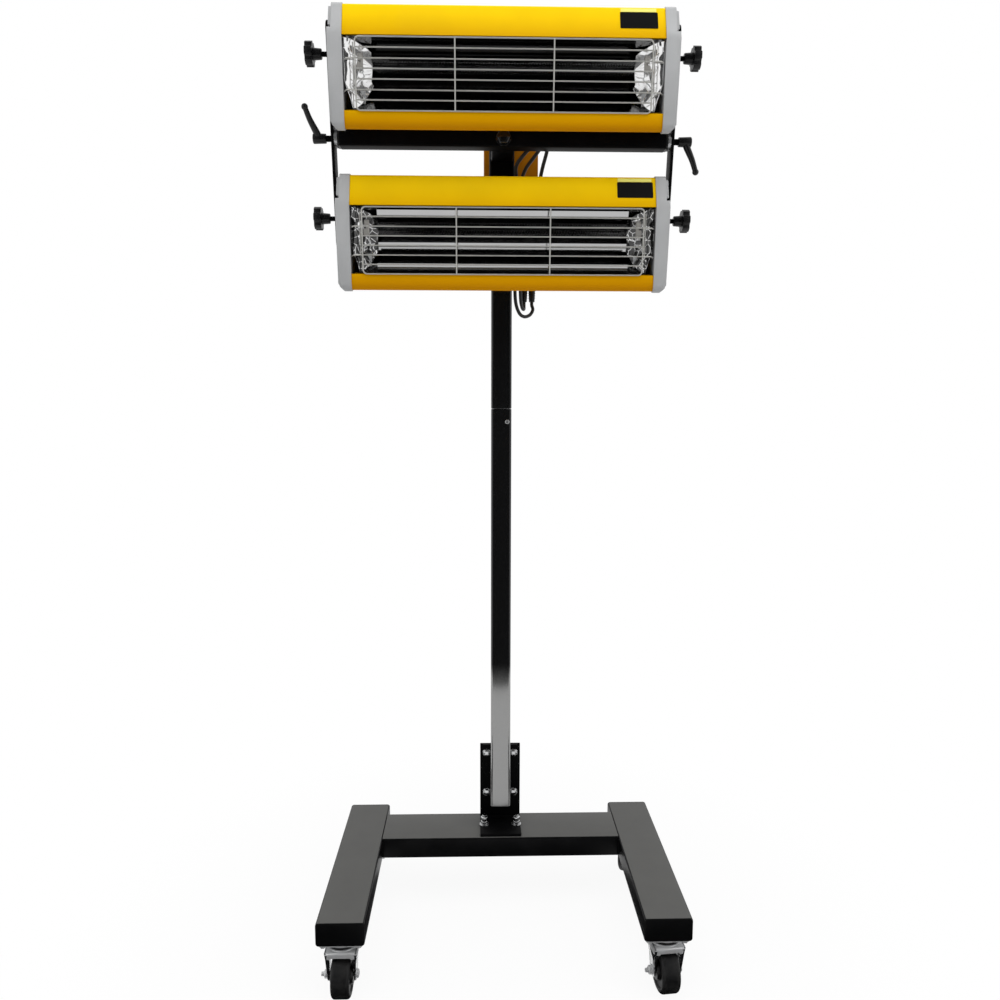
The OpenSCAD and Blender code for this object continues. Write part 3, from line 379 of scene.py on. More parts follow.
def dull(piece, width, segments, limit):
    """Rounds the edges that are sharper than limit degrees."""
    return modify(piece, "BEVEL", width=width * MM, segments=segments, limit_method="ANGLE",
                  angle_limit=math.radians(limit))


def ease(piece, width, segments=2, limit=35):
    """Rounds the sharp edges a little and shades the piece smooth between them."""
    if width:
        dull(piece, width, segments, limit)
    take(piece)
    bpy.ops.object.shade_smooth_by_angle(angle=math.radians(SMOOTH_UNDER))
    return piece


def join(name, *pieces):
    take(*pieces)
    if len(pieces) > 1:
        bpy.ops.object.join()
    piece = bpy.context.object
    piece.name = name
    piece.data.name = name
    return piece


def copy(piece, name, matrix):
    """A copy with its own mesh, moved by a matrix that is in millimetres."""
    take(piece)
    bpy.ops.object.duplicate(linked=False)
    other = bpy.context.object
    place(other, matrix)
    other.name = name
    other.data.name = name
    return other


def place(piece, matrix):
    """Moves a piece, and keeps its place in its mesh."""
    matrix = matrix.copy()
    matrix.translation *= MM
    piece.matrix_world = matrix
    take(piece)
    bpy.ops.object.transform_apply(location=True, rotation=True, scale=True)
    if matrix.determinant() < 0:
        work(piece, "FACE", everywhere, (bpy.ops.mesh.normals_make_consistent, dict(inside=False)))
    return piece


def shift(x, y, z):
    return Matrix.Translation((x, y, z))


def turn(radians, axis):
    return Matrix.Rotation(radians, 4, axis)


MIRROR = Matrix.Scale(-1, 4, X)


def paint(piece, finish):
    piece.data.materials.clear()
    piece.data.materials.append(finishes()[finish])


def wear(piece, finish, body, *nodes, slot=None):
    """Gives a piece its finish and the body that it rides on, and hides the nodes that it stands for."""
    paint(piece, finish)
    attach(piece, body)
    if nodes:
        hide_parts(*nodes)
    return piece


def dress(piece, name, spot, finish, body, *nodes, slot=None):
    """Puts a copy of a piece in its place, gives it its finish and body, and hides its nodes."""
    return wear(copy(piece, name, spot), finish, body, *nodes, slot=slot)


# Finishes

class Value:
    """A node's output that takes part in Python arithmetic."""

    def __init__(self, graph, socket):
        self.graph = graph
        self.socket = socket

    def math(self, operation, *values):
        return self.graph.node("ShaderNodeMath", dict(operation=operation), dict(enumerate(values)))

    def __add__(self, other):
        return self.math("ADD", self, other)

    def __sub__(self, other):
        return self.math("SUBTRACT", self, other)

    def __mul__(self, other):
        return self.math("MULTIPLY", self, other)

    def __truediv__(self, other):
        return self.math("DIVIDE", self, other)

    def above(self, other):
        return self.math("GREATER_THAN", self, other)

    __radd__ = __add__
    __rmul__ = __mul__


class Graph:
    """A node tree in which one call adds a node and links it."""

    def __init__(self, tree):
        self.tree = tree

    def node(self, kind, settings=None, inputs=None, output=0):
        """Adds a node: its settings first, then the values or links of its sockets."""
        node = self.tree.nodes.new(kind)
        for key, value in (settings or {}).items():
            if key == "stops":
                while len(node.color_ramp.elements) < len(value):
                    node.color_ramp.elements.new(0.5)
                for stop, (position, level) in zip(node.color_ramp.elements, value):
                    stop.position = position
                    stop.color = (level, level, level, 1)
            else:
                setattr(node, key, value)
        for key, value in (inputs or {}).items():
            self.feed(node, key, value)
        return Value(self, node.outputs[output])

    def feed(self, node, socket, value):
        if isinstance(value, Value):
            self.tree.links.new(value.socket, node.inputs[socket])
        else:
            node.inputs[socket].default_value = value

    def ray(self, *kinds):
        """1 for rays of any of these kinds, and 0 for others."""
        first, *others = [self.node("ShaderNodeLightPath", output=f"Is {kind} Ray") for kind in kinds]
        for other in others:
            first = first.math("MAXIMUM", first, other)
        return first

    def mix(self, factor, first, second):
        """A shader between two shaders."""
        return self.node("ShaderNodeMixShader", None, {0: factor, 1: first, 2: second})


class Finish(Graph):
    """A material round one Principled shader; sockets are values that hold for the whole material."""

    def __init__(self, name, **sockets):
        material = bpy.data.materials.new(name)
        material.use_nodes = True
        super().__init__(material.node_tree)
        self.material = material
        self.shader = self.tree.nodes["Principled BSDF"]
        for socket, value in sockets.items():
            self.link(socket.replace("_", " ").title().replace("Ior", "IOR"), value)
        self.place = self.node("ShaderNodeTexCoord", output="Object")

    def link(self, socket, value):
        self.feed(self.shader, socket, value)

    def height(self):
        return self.node("ShaderNodeSeparateXYZ", None, {0: self.place}, 2)

    def stretched(self, x, y, z):
        """The piece's coordinates, stretched by a factor along each axis."""
        return self.node("ShaderNodeMapping", None, {"Vector": self.place, "Scale": (x, y, z)})

    def noise(self, scale, detail, roughness=0.5, where=None):
        return self.node("ShaderNodeTexNoise", None, {
            "Vector": where or self.place, "Scale": scale, "Detail": detail, "Roughness": roughness})

    def ramp(self, value, *stops):
        return self.node("ShaderNodeValToRGB", dict(stops=stops), {0: value})

    def blend(self, factor, first, second):
        """A colour between two colours."""
        first, second = [value if isinstance(value, Value) else (*value, 1) for value in (first, second)]
        return self.node("ShaderNodeMix", dict(data_type="RGBA"), {0: factor, 6: first, 7: second}, 2)

    def span(self, value, low, high):
        """Maps a value from 0..1 to low..high."""
        return value * (high - low) + low

    def bump(self, height, strength, depth):
        """Relief from a height of 0..1 that is depth millimetres deep."""
        self.link("Normal", self.node("ShaderNodeBump", None, {
            "Strength": strength, "Distance": depth * MM, "Height": height}))

    def look(self, colour, roughness, height, strength, depth):
        """Sets what varies: colour and roughness, and relief as bump does."""
        self.link("Base Color", colour)
        self.link("Roughness", roughness)
        self.bump(height, strength, depth)


def shade(colour, factor):
    return tuple(min(1, part * factor) for part in colour)


def gloss_paint(name, colour, rough, peel, gloss, low=0, high=0, painted_shade=()):
    """Stove enamel: clear gloss, a faint orange peel, and painted shade: a deeper orange by height where
    stops are given.
    """
    finish = Finish(name, specular_ior_level=gloss, coat_roughness=0.08)
    cloud = finish.noise(9, 3)
    fleck = finish.noise(700, 2)
    uneven = finish.ramp(cloud, (0.3, 0.0), (0.72, 1.0))
    coat = finish.blend(uneven, shade(colour, 0.93), shade(colour, 1.04))
    # Painted shade: the colour turns a deeper orange by height, most towards each housing's lower part
    if painted_shade:
        share = (finish.height() - low * MM) / ((high - low) * MM)
        deep = finish.ramp(share, *[((stop - low) / (high - low), value) for stop, value in painted_shade])
        coat = finish.blend(deep, coat, (colour[0] * 0.66, colour[1] * 0.42, colour[2]))
    finish.link("Coat Weight", finish.span(uneven, gloss * 0.3, gloss * 0.5))
    waves = finish.noise(230, 2)
    finish.look(coat, finish.span(cloud, rough - 0.05, rough + 0.07) + finish.span(fleck, 0, 0.03),
                waves * 0.7 + fleck * 0.3, peel, 0.05)


def black_chrome(name, colour):
    """Dark polished steel that mirrors its surroundings softly, with a painted reflection near its foot:
    light grey base colour below about 0.45 m.
    """
    finish = Finish(name, metallic=0.88)
    cloud = finish.noise(7, 3)
    streak = finish.noise(120, 3, 0.6, finish.stretched(1, 1, 0.04))
    # Painted reflection: a light grey base colour below about 0.45 m, dark above
    bright = finish.blend(cloud, (0.27, 0.27, 0.27), (0.31, 0.31, 0.305))
    finish.look(finish.blend(finish.ramp(finish.height() / 1.5, (0.301, 0.0), (0.318, 1.0)), bright, colour),
                finish.span(cloud, 0.07, 0.13) + finish.span(streak, -0.02, 0.02), streak, 0.06, 0.02)


def powder_coat(name, colour, rough, dust, gloss=0.3, top=None):
    """Fine-grained powder coat with a thin veil of dust, and a painted sheen above the height top: a lighter
    grey base colour there.
    """
    finish = Finish(name, specular_ior_level=gloss)
    grain = finish.noise(1500, 3, 0.6)
    cloud = finish.noise(14, 4)
    veil = finish.ramp(cloud, (0.45, 0.0), (0.8, 1.0)) * dust
    coat = finish.blend(veil, colour, shade(tuple(part + 0.02 for part in colour), 2.2))
    # Painted sheen: above the height top the base colour turns light grey
    if top:
        coat = finish.blend(finish.height().above(top * MM) * finish.span(cloud, 0.75, 1.0), coat,
                            (0.12, 0.12, 0.115))
    finish.look(coat, finish.span(cloud, rough - 0.06, rough + 0.1) + finish.span(grain, -0.03, 0.03),
                grain, 0.35, 0.06)


def plating(name, colour, rough, metal=1.0):
    """Bright zinc plating: faint spangle, drawn streaks and dull patches."""
    finish = Finish(name, metallic=metal)
    cloud = finish.noise(60, 3)
    streak = finish.noise(90, 3, 0.6, finish.stretched(1, 1, 14))
    tint = finish.blend(cloud, shade(colour, 0.86), colour)
    finish.look(finish.blend(streak * 0.35, tint, shade(colour, 0.7)),
                finish.span(cloud, rough - 0.08, rough + 0.12) + finish.span(streak, -0.03, 0.05),
                streak * 0.5 + cloud * 0.5, 0.2, 0.05)


def polished_sheet(name, depth, scale, bright, metal=1.0, crease=None):
    """Thin polished sheet that waves a little, or a lot where crumpled; a low bright is painted shade, and a
    glint colour paints highlights along the crumples.
    """
    finish = Finish(name, metallic=metal)
    waves = finish.noise(scale, 2, 0.5)
    haze = finish.noise(35, 4, 0.6, finish.stretched(0.25, 1, 1))
    sheet = finish.blend(haze, (bright * 0.84,) * 3, (bright,) * 3)
    # Painted highlight: light lines of the glint colour along the crumples' edges
    if crease:
        edge = finish.node("ShaderNodeTexVoronoi", dict(feature="DISTANCE_TO_EDGE"),
                           {"Vector": finish.place, "Scale": 85})
        sheet = finish.blend(finish.ramp(edge, (0.0, 1.0), (0.05, 0.0)), sheet, (crease,) * 3)
    finish.look(sheet, finish.span(haze, 0.04, 0.13), waves, 0.6, depth)


def moulded(name, colour, rough=0.38, grain=900, gloss=0.35):
    """Moulded plastic: fine spark grain, slightly polished where hands touch it."""
    finish = Finish(name, specular_ior_level=gloss)
    spark = finish.noise(grain, 3, 0.65)
    cloud = finish.noise(26, 3)
    finish.look(finish.blend(cloud, shade(colour, 0.85), shade(colour, 1.2)),
                finish.span(cloud, rough - 0.07, rough + 0.09) + finish.span(spark, -0.04, 0.04),
                spark, 0.3, 0.08)


def tyre_rubber(name, colour):
    """Rubber with a dull, dusty tread."""
    finish = Finish(name, specular_ior_level=0.35)
    dust = finish.ramp(finish.noise(55, 5, 0.65), (0.42, 0.0), (0.75, 1.0))
    pits = finish.noise(420, 3)
    finish.look(finish.blend(dust * 0.3, colour, (0.045, 0.044, 0.042)), finish.span(dust, 0.5, 0.75),
                pits, 0.4, 0.15)


def fired_ceramic(name, colour):
    """Pale fired ceramic with fine pores and a smoky tinge."""
    finish = Finish(name)
    smoke = finish.noise(45, 3)
    pores = finish.node("ShaderNodeTexVoronoi", None, {"Vector": finish.place, "Scale": 900})
    finish.look(finish.blend(smoke, shade(colour, 0.72), shade(colour, 1.05)),
                finish.span(smoke, 0.55, 0.75), pores, 0.35, 0.08)


def quartz(name):
    """Smoky quartz glass with faint haze and drawing lines."""
    finish = Finish(name, transmission_weight=1.0, ior=1.46)
    lines = finish.noise(160, 2, 0.5, finish.stretched(0.02, 1, 1))
    haze = finish.noise(18, 3)
    finish.look(finish.blend(haze, (0.2, 0.2, 0.2), (0.3, 0.3, 0.3)), finish.span(haze, 0.02, 0.09),
                lines, 0.12, 0.08)


def jacket(name, colour):
    """Flexible black jacket with the faint lay of the cores under it."""
    finish = Finish(name, specular_ior_level=0.45)
    scuff = finish.noise(70, 4, 0.6)
    lay = finish.noise(240, 2, 0.5, finish.stretched(1, 1, 0.25))
    finish.look(finish.blend(scuff, shade(colour, 0.8), shade(colour, 1.7)), finish.span(scuff, 0.36, 0.55),
                lay, 0.3, 0.12)


# Painted shade on the housings' yellow: the height in millimetres and the share of deeper orange there, from
# the lower cassette's foot to the upper's top
PAINTED_SHADE_BY_HEIGHT = ((1178, 1.0), (1200, 0.75), (1311, 0.55), (1328, 0.25), (1346, 0.04), (1372, 0.2), (1428, 1.0),
         (1451, 0.65), (1563, 0.6), (1580, 0.3), (1598, 0.06), (1616, 0.0))
# Height above which the base black gets its painted sheen on the top faces
LEG_TOP = 139.6


def finishes():
    """The finishes by name, made once."""
    if "lamp yellow" not in bpy.data.materials:
        colour = bpy.context.scene.lamp_colours
        for name, make, *settings in (
                ("lamp yellow", gloss_paint, colour.yellow, 0.4, 0.2, 0.03, 1170, 1630, PAINTED_SHADE_BY_HEIGHT),
                ("box yellow", gloss_paint, colour.box, 0.4, 0.2, 0.12),
                ("strip yellow", gloss_paint, colour.strip, 0.5, 0.1, 0.1),
                ("plate enamel", gloss_paint, shade(colour.plastic, 0.8), 0.45, 0.1, 0.2),
                ("mast enamel", black_chrome, colour.mast),
                ("frame black", powder_coat, shade(colour.black, 0.7), 0.46, 0.04, 0.05),
                ("base black", powder_coat, colour.black, 0.36, 0.08, 0.12, LEG_TOP),
                ("cap grey", powder_coat, colour.cap, 0.4, 0.1),
                ("bright zinc", plating, colour.zinc, 0.34, 0.6),
                ("mirror zinc", plating, shade(colour.zinc, 0.9), 0.14),
                ("drawn wire", plating, colour.wire, 0.34, 0.6),
                ("toothed steel", plating, shade(colour.zinc, 0.75), 0.35),
                ("dark coil", plating, (0.05, 0.05, 0.05), 0.45),
                # Painted shade: the trough's mirror is set far darker than bright aluminium
                ("mirror sheet", polished_sheet, 0.25, 9, 0.16),
                # Painted highlight: the lower trough's folds are set lighter than its mirror
                ("ridge mirror", polished_sheet, 0.06, 9, 0.5),
                # Painted shade with painted highlights: the lower end sheets are set dark, with light lines
                # along their crumples
                ("smoked mirror", polished_sheet, 0.9, 40, 0.09, 0.95, 0.9),
                ("crumpled mirror", polished_sheet, 0.9, 40, 0.96, 0.92),
                ("black plastic", moulded, colour.plastic),
                ("plug plastic", moulded, shade(colour.plastic, 0.6), 0.38, 900, 0.12),
                ("switch red", moulded, colour.red, 0.3, 700),
                ("works plastic", moulded, (0.62, 0.6, 0.54), 0.45),
                ("tyre rubber", tyre_rubber, colour.rubber),
                ("fired ceramic", fired_ceramic, colour.ceramic),
                ("quartz glass", quartz),
                ("lead jacket", jacket, colour.jacket)):
            make(name, *settings)
    return bpy.data.materials


# Fasteners

def hex_piece(name, base, way, radius, height, bore=0):
    """A six-sided head or nut with chamfered corners, standing on base."""
    base, way = Vector(base), Vector(way)
    nut = rod(name, base, base + way * height, radius, 6, turned=math.radians(30))
    work(nut, "EDGE", lambda edge: slant(edge, way) < 0.1
         and middle(edge).dot(way) > base.dot(way) + height * 0.9, bevel(radius * 0.13, 2))
    if bore:
        work(nut, "FACE", facing(way), inset(radius * 0.28), push(way, -height * 0.12))
    return ease(nut, 0.25, 1)


def washer(name, base, way, radius, thickness):
    base, way = Vector(base), Vector(way)
    return ease(rod(name, base, base + way * thickness, radius, 32), 0.35)


def pan_head(name, base, way, radius, height):
    """A domed screw head with a cross recess."""
    base, way = Vector(base), Vector(way)
    head = rod(name, base, base + way * height, radius, 28)
    work(head, "FACE", facing(way), inset(radius * 0.32, height * 0.25))
    across = way.orthogonal().normalized()
    other = way.cross(across)
    slots = []
    for first, second in ((across, other), (other, across)):
        centre = base + way * (height * 1.25)
        half = first * radius * 0.5 + second * radius * 0.12 + way * height * 0.6
        corner = Vector([abs(part) for part in half])
        slots.append(block("slot", centre - corner, centre + corner))
    return ease(carve(head, *slots), 0.15, 1)


# Places

def arm_frame():
    """Where the arms' own axes lie: the crossbeam's axis, leaned."""
    mast, arm = in_mm(bpy.context.scene.lamp_mast), in_mm(bpy.context.scene.lamp_arms)
    return shift(0, mast.beam_y, mast.beam_z) @ turn(arm.lean, "X")


def cassette_frame(which):
    """Where a cassette's tilt axis lies, with the cassette's own tilt."""
    arm, cassette = in_mm(bpy.context.scene.lamp_arms), in_mm(bpy.context.scene.lamp_cassette)
    axis = arm_frame() @ Vector((0, 0, CASSETTES[which] * arm.reach))
    return Matrix.Translation(axis) @ turn(getattr(cassette, which + "_tilt"), "X")


def caster_frame(side, end):
    """Where a caster's swivel axis meets the floor, turned so that the wheel trails towards -Y."""
    stand = in_mm(bpy.context.scene.lamp_stand)
    ahead = -1 if end == "front" else 1
    base = shift(SIDES[side] * stand.leg_x, ahead * stand.caster_y, 0)
    return base @ turn(0 if end == "front" else math.pi, "Z")


def smooth_route(points, steps=4):
    """Points of a smooth curve through a route's points."""
    points = [Vector(point) for point in points]
    line = []
    for index in range(len(points) - 1):
        before = points[max(index - 1, 0)]
        a, b = points[index], points[index + 1]
        after = points[min(index + 2, len(points) - 1)]
        for step in range(steps):
            t = step / steps
            line.append(0.5 * (2 * a + (b - before) * t + (2 * before - 5 * a + 4 * b - after) * t ** 2
                               + (3 * a - before - 3 * b + after) * t ** 3))
    line.append(points[-1])
    return line


# Stage and camera

class LAMP_OT_stage(bpy.types.Operator):
    """Set the floor, the backdrop, the lights and the camera"""
    bl_idname = "lamp.stage"
    bl_label = "Stage and camera"

    def unseen_dark(self):
        """A dark finish that only glossy rays meet, so that polished metal shows painted dark reflections."""
        material = bpy.data.materials.new("dark room")
        material.use_nodes = True
        graph = Graph(material.node_tree)
        graph.tree.nodes.remove(graph.tree.nodes["Principled BSDF"])
        light = graph.node("ShaderNodeEmission", None, {"Color": (0.01, 0.01, 0.011, 1)})
        graph.feed(graph.tree.nodes["Material Output"], 0,
                   graph.mix(graph.ray("Glossy"), graph.node("ShaderNodeBsdfTransparent"), light))
        return material

    def white_floor(self):
        """Pale floor that keeps the lamp's shadow and fades to plain white away from it."""
        finish = Finish("floor paint", base_color=(0.93, 0.93, 0.93, 1), roughness=0.8)
        light = finish.node("ShaderNodeEmission")
        distance = finish.node("ShaderNodeVectorMath", dict(operation="LENGTH"), {0: finish.place}, "Value")
        fade = finish.node("ShaderNodeMapRange", dict(interpolation_type="SMOOTHSTEP"), {
            "From Min": 0.25, "From Max": 0.9, "To Min": 0.93, "To Max": 1.0, "Value": distance})
        coat = Value(finish, finish.shader.outputs[0])
        finish.feed(finish.tree.nodes["Material Output"], 0,
                    finish.mix(fade * finish.ray("Camera", "Glossy"), coat, light))
        return finish.material

    def sky(self):
        """A white surround that lights the lamp less than it shows."""
        world = bpy.data.worlds.new("studio")
        world.use_nodes = True
        graph = Graph(world.node_tree)
        level = graph.node("ShaderNodeMapRange", None, {
            "To Min": 0.3, "To Max": 1.0, "Value": graph.ray("Camera", "Transmission", "Glossy")})
        background = graph.tree.nodes["Background"]
        graph.feed(background, "Color", (1, 1, 1, 1))
        graph.feed(background, "Strength", level)
        return world

    def sheet(self, name, size, centre, material, tilt=0, scale=(1, 1, 1)):
        """A flat surface that belongs to the stage."""
        deselect()
        bpy.ops.mesh.primitive_plane_add(size=size, location=centre, rotation=(math.radians(tilt), 0, 0))
        plane = bpy.context.object
        plane.name = name
        plane.scale = scale
        plane.data.materials.append(material)

    def execute(self, context):
        scene = context.scene
        deselect()
        bpy.ops.object.camera_add()
        camera = context.object
        camera.name = "camera"
        camera.data.lens = 29.93
        camera.data.sensor_width = 36
        camera.data.clip_start = 0.05
        to_right, down, roll = 1.49, 7.052, 0.114
        camera.matrix_world = (shift(-42.7 * MM, -1465 * MM, 991.6 * MM)
                               @ turn(math.radians(-to_right), "Z")
                               @ turn(math.radians(90 - down), "X") @ turn(math.radians(roll), "Z"))
        scene.camera = camera

        self.sheet("floor", 24, (0, 0, 0), self.white_floor())
        # Sheets that only reflections show, painting dark reflections: a dark surround beyond the white sheet
        # in front of the lamp, and a painted shadow on the floor round the lamp's foot
        for name, centre, scale, tilt in (("dark_wall", (0, -3.4, 2.2), (3.4, 4.6, 1), 90),
                                          ("dark_ceiling", (0, -1.9, 4.4), (3.4, 3.4, 1), 0),
                                          ("dark_ground", (0, -2.82, 0.004), (3.4, 2.0, 1), 0),
                                          ("dark_left", (-0.39, -0.47, 0.004), (0.4, 0.56, 1), 0),
                                          ("dark_right", (0.39, -0.47, 0.004), (0.4, 0.56, 1), 0),
                                          ("dark_foot", (0, -0.05, 0.004), (0.44, 0.44, 1), 0)):
            self.sheet(name, 1, centre, self.unseen_dark(), tilt, scale)
        scene.world = self.sky()

        for name, spot, target, size, energy in (
                ("top light", (0.1, -0.8, 3.3), (0, 0, 1.2), (3.2, 2.2), 68),
                ("left light", (-2.6, -1.8, 2.2), (0, 0, 0.9), (1.0, 2.2), 6),
                ("right light", (2.6, -1.4, 1.7), (0, 0, 0.9), (0.8, 2.0), 12),
                ("low light", (-0.9, -2.3, 0.45), (0, 0, 0.2), (1.6, 0.5), 5)):
            deselect()
            bpy.ops.object.light_add(type="AREA", location=spot)
            lamp = context.object
            lamp.name = name
            lamp.data.shape = "RECTANGLE"
            lamp.data.size, lamp.data.size_y = size
            lamp.data.energy = energy
            lamp.visible_glossy = False
            lamp.rotation_euler = (Vector(target) - Vector(spot)).to_track_quat("-Z", "Y").to_euler()

        scene.view_settings.view_transform = "Standard"
        return {"FINISHED"}


class LAMP_OT_leads(bpy.types.Operator):
    """Hang the three lamp leads between cassettes, couplers and control box"""
    bl_idname = "lamp.leads"
    bl_label = "Leads"

    lead_d = 6.5
    coupler = 34, 1432, 1456  # Place behind the origin, lower and upper end
    lead_x = {"lead_a_top": 62, "lead_b_top": 70.2, "link_top": 78.4}
    top_yz = ((31.7, 1497.6), (32.8, 1487.6), (33.7, 1476), (34, 1466), (34, 1456))
    loop_a = ((62, 34, 1432), (62, 34, 1428.5), (58, 37, 1426), (48, 45, 1422), (34, 62, 1411),
              (25, 78, 1399), (26.5, 92, 1375), (27, 100, 1340), (27.5, 110, 1300), (27.5, 118, 1260),
              (27, 124, 1225), (26, 130, 1195), (28, 137, 1168), (35, 144, 1150), (45, 151, 1144),
              (56, 158, 1148), (62, 164, 1158), (60, 166, 1167), (60, 166, 1173))
    loop_b = ((70.2, 34, 1432), (70.2, 34, 1428.5), (66, 45, 1422), (54, 62, 1409), (41, 80, 1394),
              (35, 91, 1374), (34, 103, 1340), (34.5, 113, 1300), (35, 120, 1260), (35.5, 124, 1225),
              (36, 128, 1195), (37.5, 138, 1172), (41, 150, 1160), (44.5, 160, 1159), (45, 166, 1167),
              (45, 166, 1173))
    loop_link = ((78.4, 34, 1432), (78.4, 34, 1426), (76, 40, 1412), (70, 49, 1390), (66, 58, 1368),
                 (66, 65, 1346), (68, 70, 1326), (69, 71.8, 1312), (69, 71.4, 1308.9))

    def lead(self, name, route, first, second, start, end):
        """One lead between two bodies; first, second, start and end, where one's hold ends and the other's
        begins, are not used.
        """
        line = smooth_route(route)
        piece = bent(name + "_jacket", line, self.lead_d / 2, 5)
        take(piece)
        bpy.ops.object.shade_smooth()
        paint(piece, "lead jacket")
        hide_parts(name)
        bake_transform(piece)
        run = sum((b - a).length for a, b in zip(line, line[1:])) * MM
        tuple(line[0] * MM)
        [tuple(point * MM) for point in line]

    def execute(self, context):
        for name, x in self.lead_x.items():
            route = [(x, y, z) for y, z in self.top_yz]
            self.lead(name, route, "upper_cassette", "arms", route[0], route[-1])
        for name, route, second in (("lead_a_loop", self.loop_a, "stand"),
                                    ("lead_b_loop", self.loop_b, "stand"),
                                    ("link_loop", self.loop_link, "lower_cassette")):
            self.lead(name, route, "arms", second, route[1], route[-1])

        y, low, high = self.coupler
        wide, narrow = 3.85, 3.3
        for index, x in enumerate(self.lead_x.values()):
            core = rod("coupler", (x, y, low + 2), (x, y, high - 2), 3.9, 20)
            collars = [rod("collar", (x, y, low), (x, y, low + 3), narrow, 20, wide),
                       rod("collar", (x, y, high - 3), (x, y, high), wide, 20, narrow)]
            rings = [rod("ring", (x, y, z), (x, y, z + 1), 4.0, 20) for z in (1439, 1443.5, 1448)]
            coupler = ease(join(f"coupler_{index + 1}", core, *collars, *rings), 0.2, 1)
            wear(coupler, "black plastic", "arms", *(["lead_couplers"] if index == 0 else []))
        return {"FINISHED"}


# Stand

class LAMP_OT_frame(bpy.types.Operator):
    """Model the two legs, the cross tube and the end plugs"""
    bl_idname = "lamp.frame"
    bl_label = "Legs and cross tube"

    def execute(self, context):
        size = in_mm(context.scene.lamp_stand)
        half, low, high = size.leg_w / 2, size.leg_low, size.leg_high
        reach = size.leg_x - half
        leg = block("leg", (-half, -size.leg_half, low), (half, size.leg_half, high))
        work(leg, "EDGE", along(Y), bevel(4, 5))
        ease(leg, 0)
        for side, sign in SIDES.items():
            dress(leg, "leg_tube_" + side, shift(sign * size.leg_x, 0, 0), "base black", "stand",
                  "leg_" + side)
            x = sign * reach
            beads = [bent("weld_" + side, [(x, y + out, high - 5), (x, y + out * 1.5, low + 5)], 2.2, 3)
                     for y, out in ((size.cross_near, -1), (size.cross_far, 1))]
            wear(ease(join("weld_bead_" + side, *beads), 0), "base black", "stand")
        discard(leg)

        cross = block("cross_tube_black", (-reach, size.cross_near, low), (reach, size.cross_far, high))
        work(cross, "EDGE", along(X), bevel(4, 5))
        wear(ease(cross, 0), "base black", "stand", "cross_tube")

        plug = block("plug", (-half, -2, low), (half, 0, high))
        work(plug, "EDGE", along(Y), bevel(5, 5))
        ease(plug, 0.8, 3)
        plugs = [copy(plug, "plug_copy", shift(sign * size.leg_x, y, 0) @ turn(around, "Z"))
                 for sign in SIDES.values() for y, around in ((-size.leg_half, 0), (size.leg_half, math.pi))]
        discard(plug)
        wear(join("leg_end_plugs", *plugs), "plug plastic", "stand", "leg_plugs")
        return {"FINISHED"}


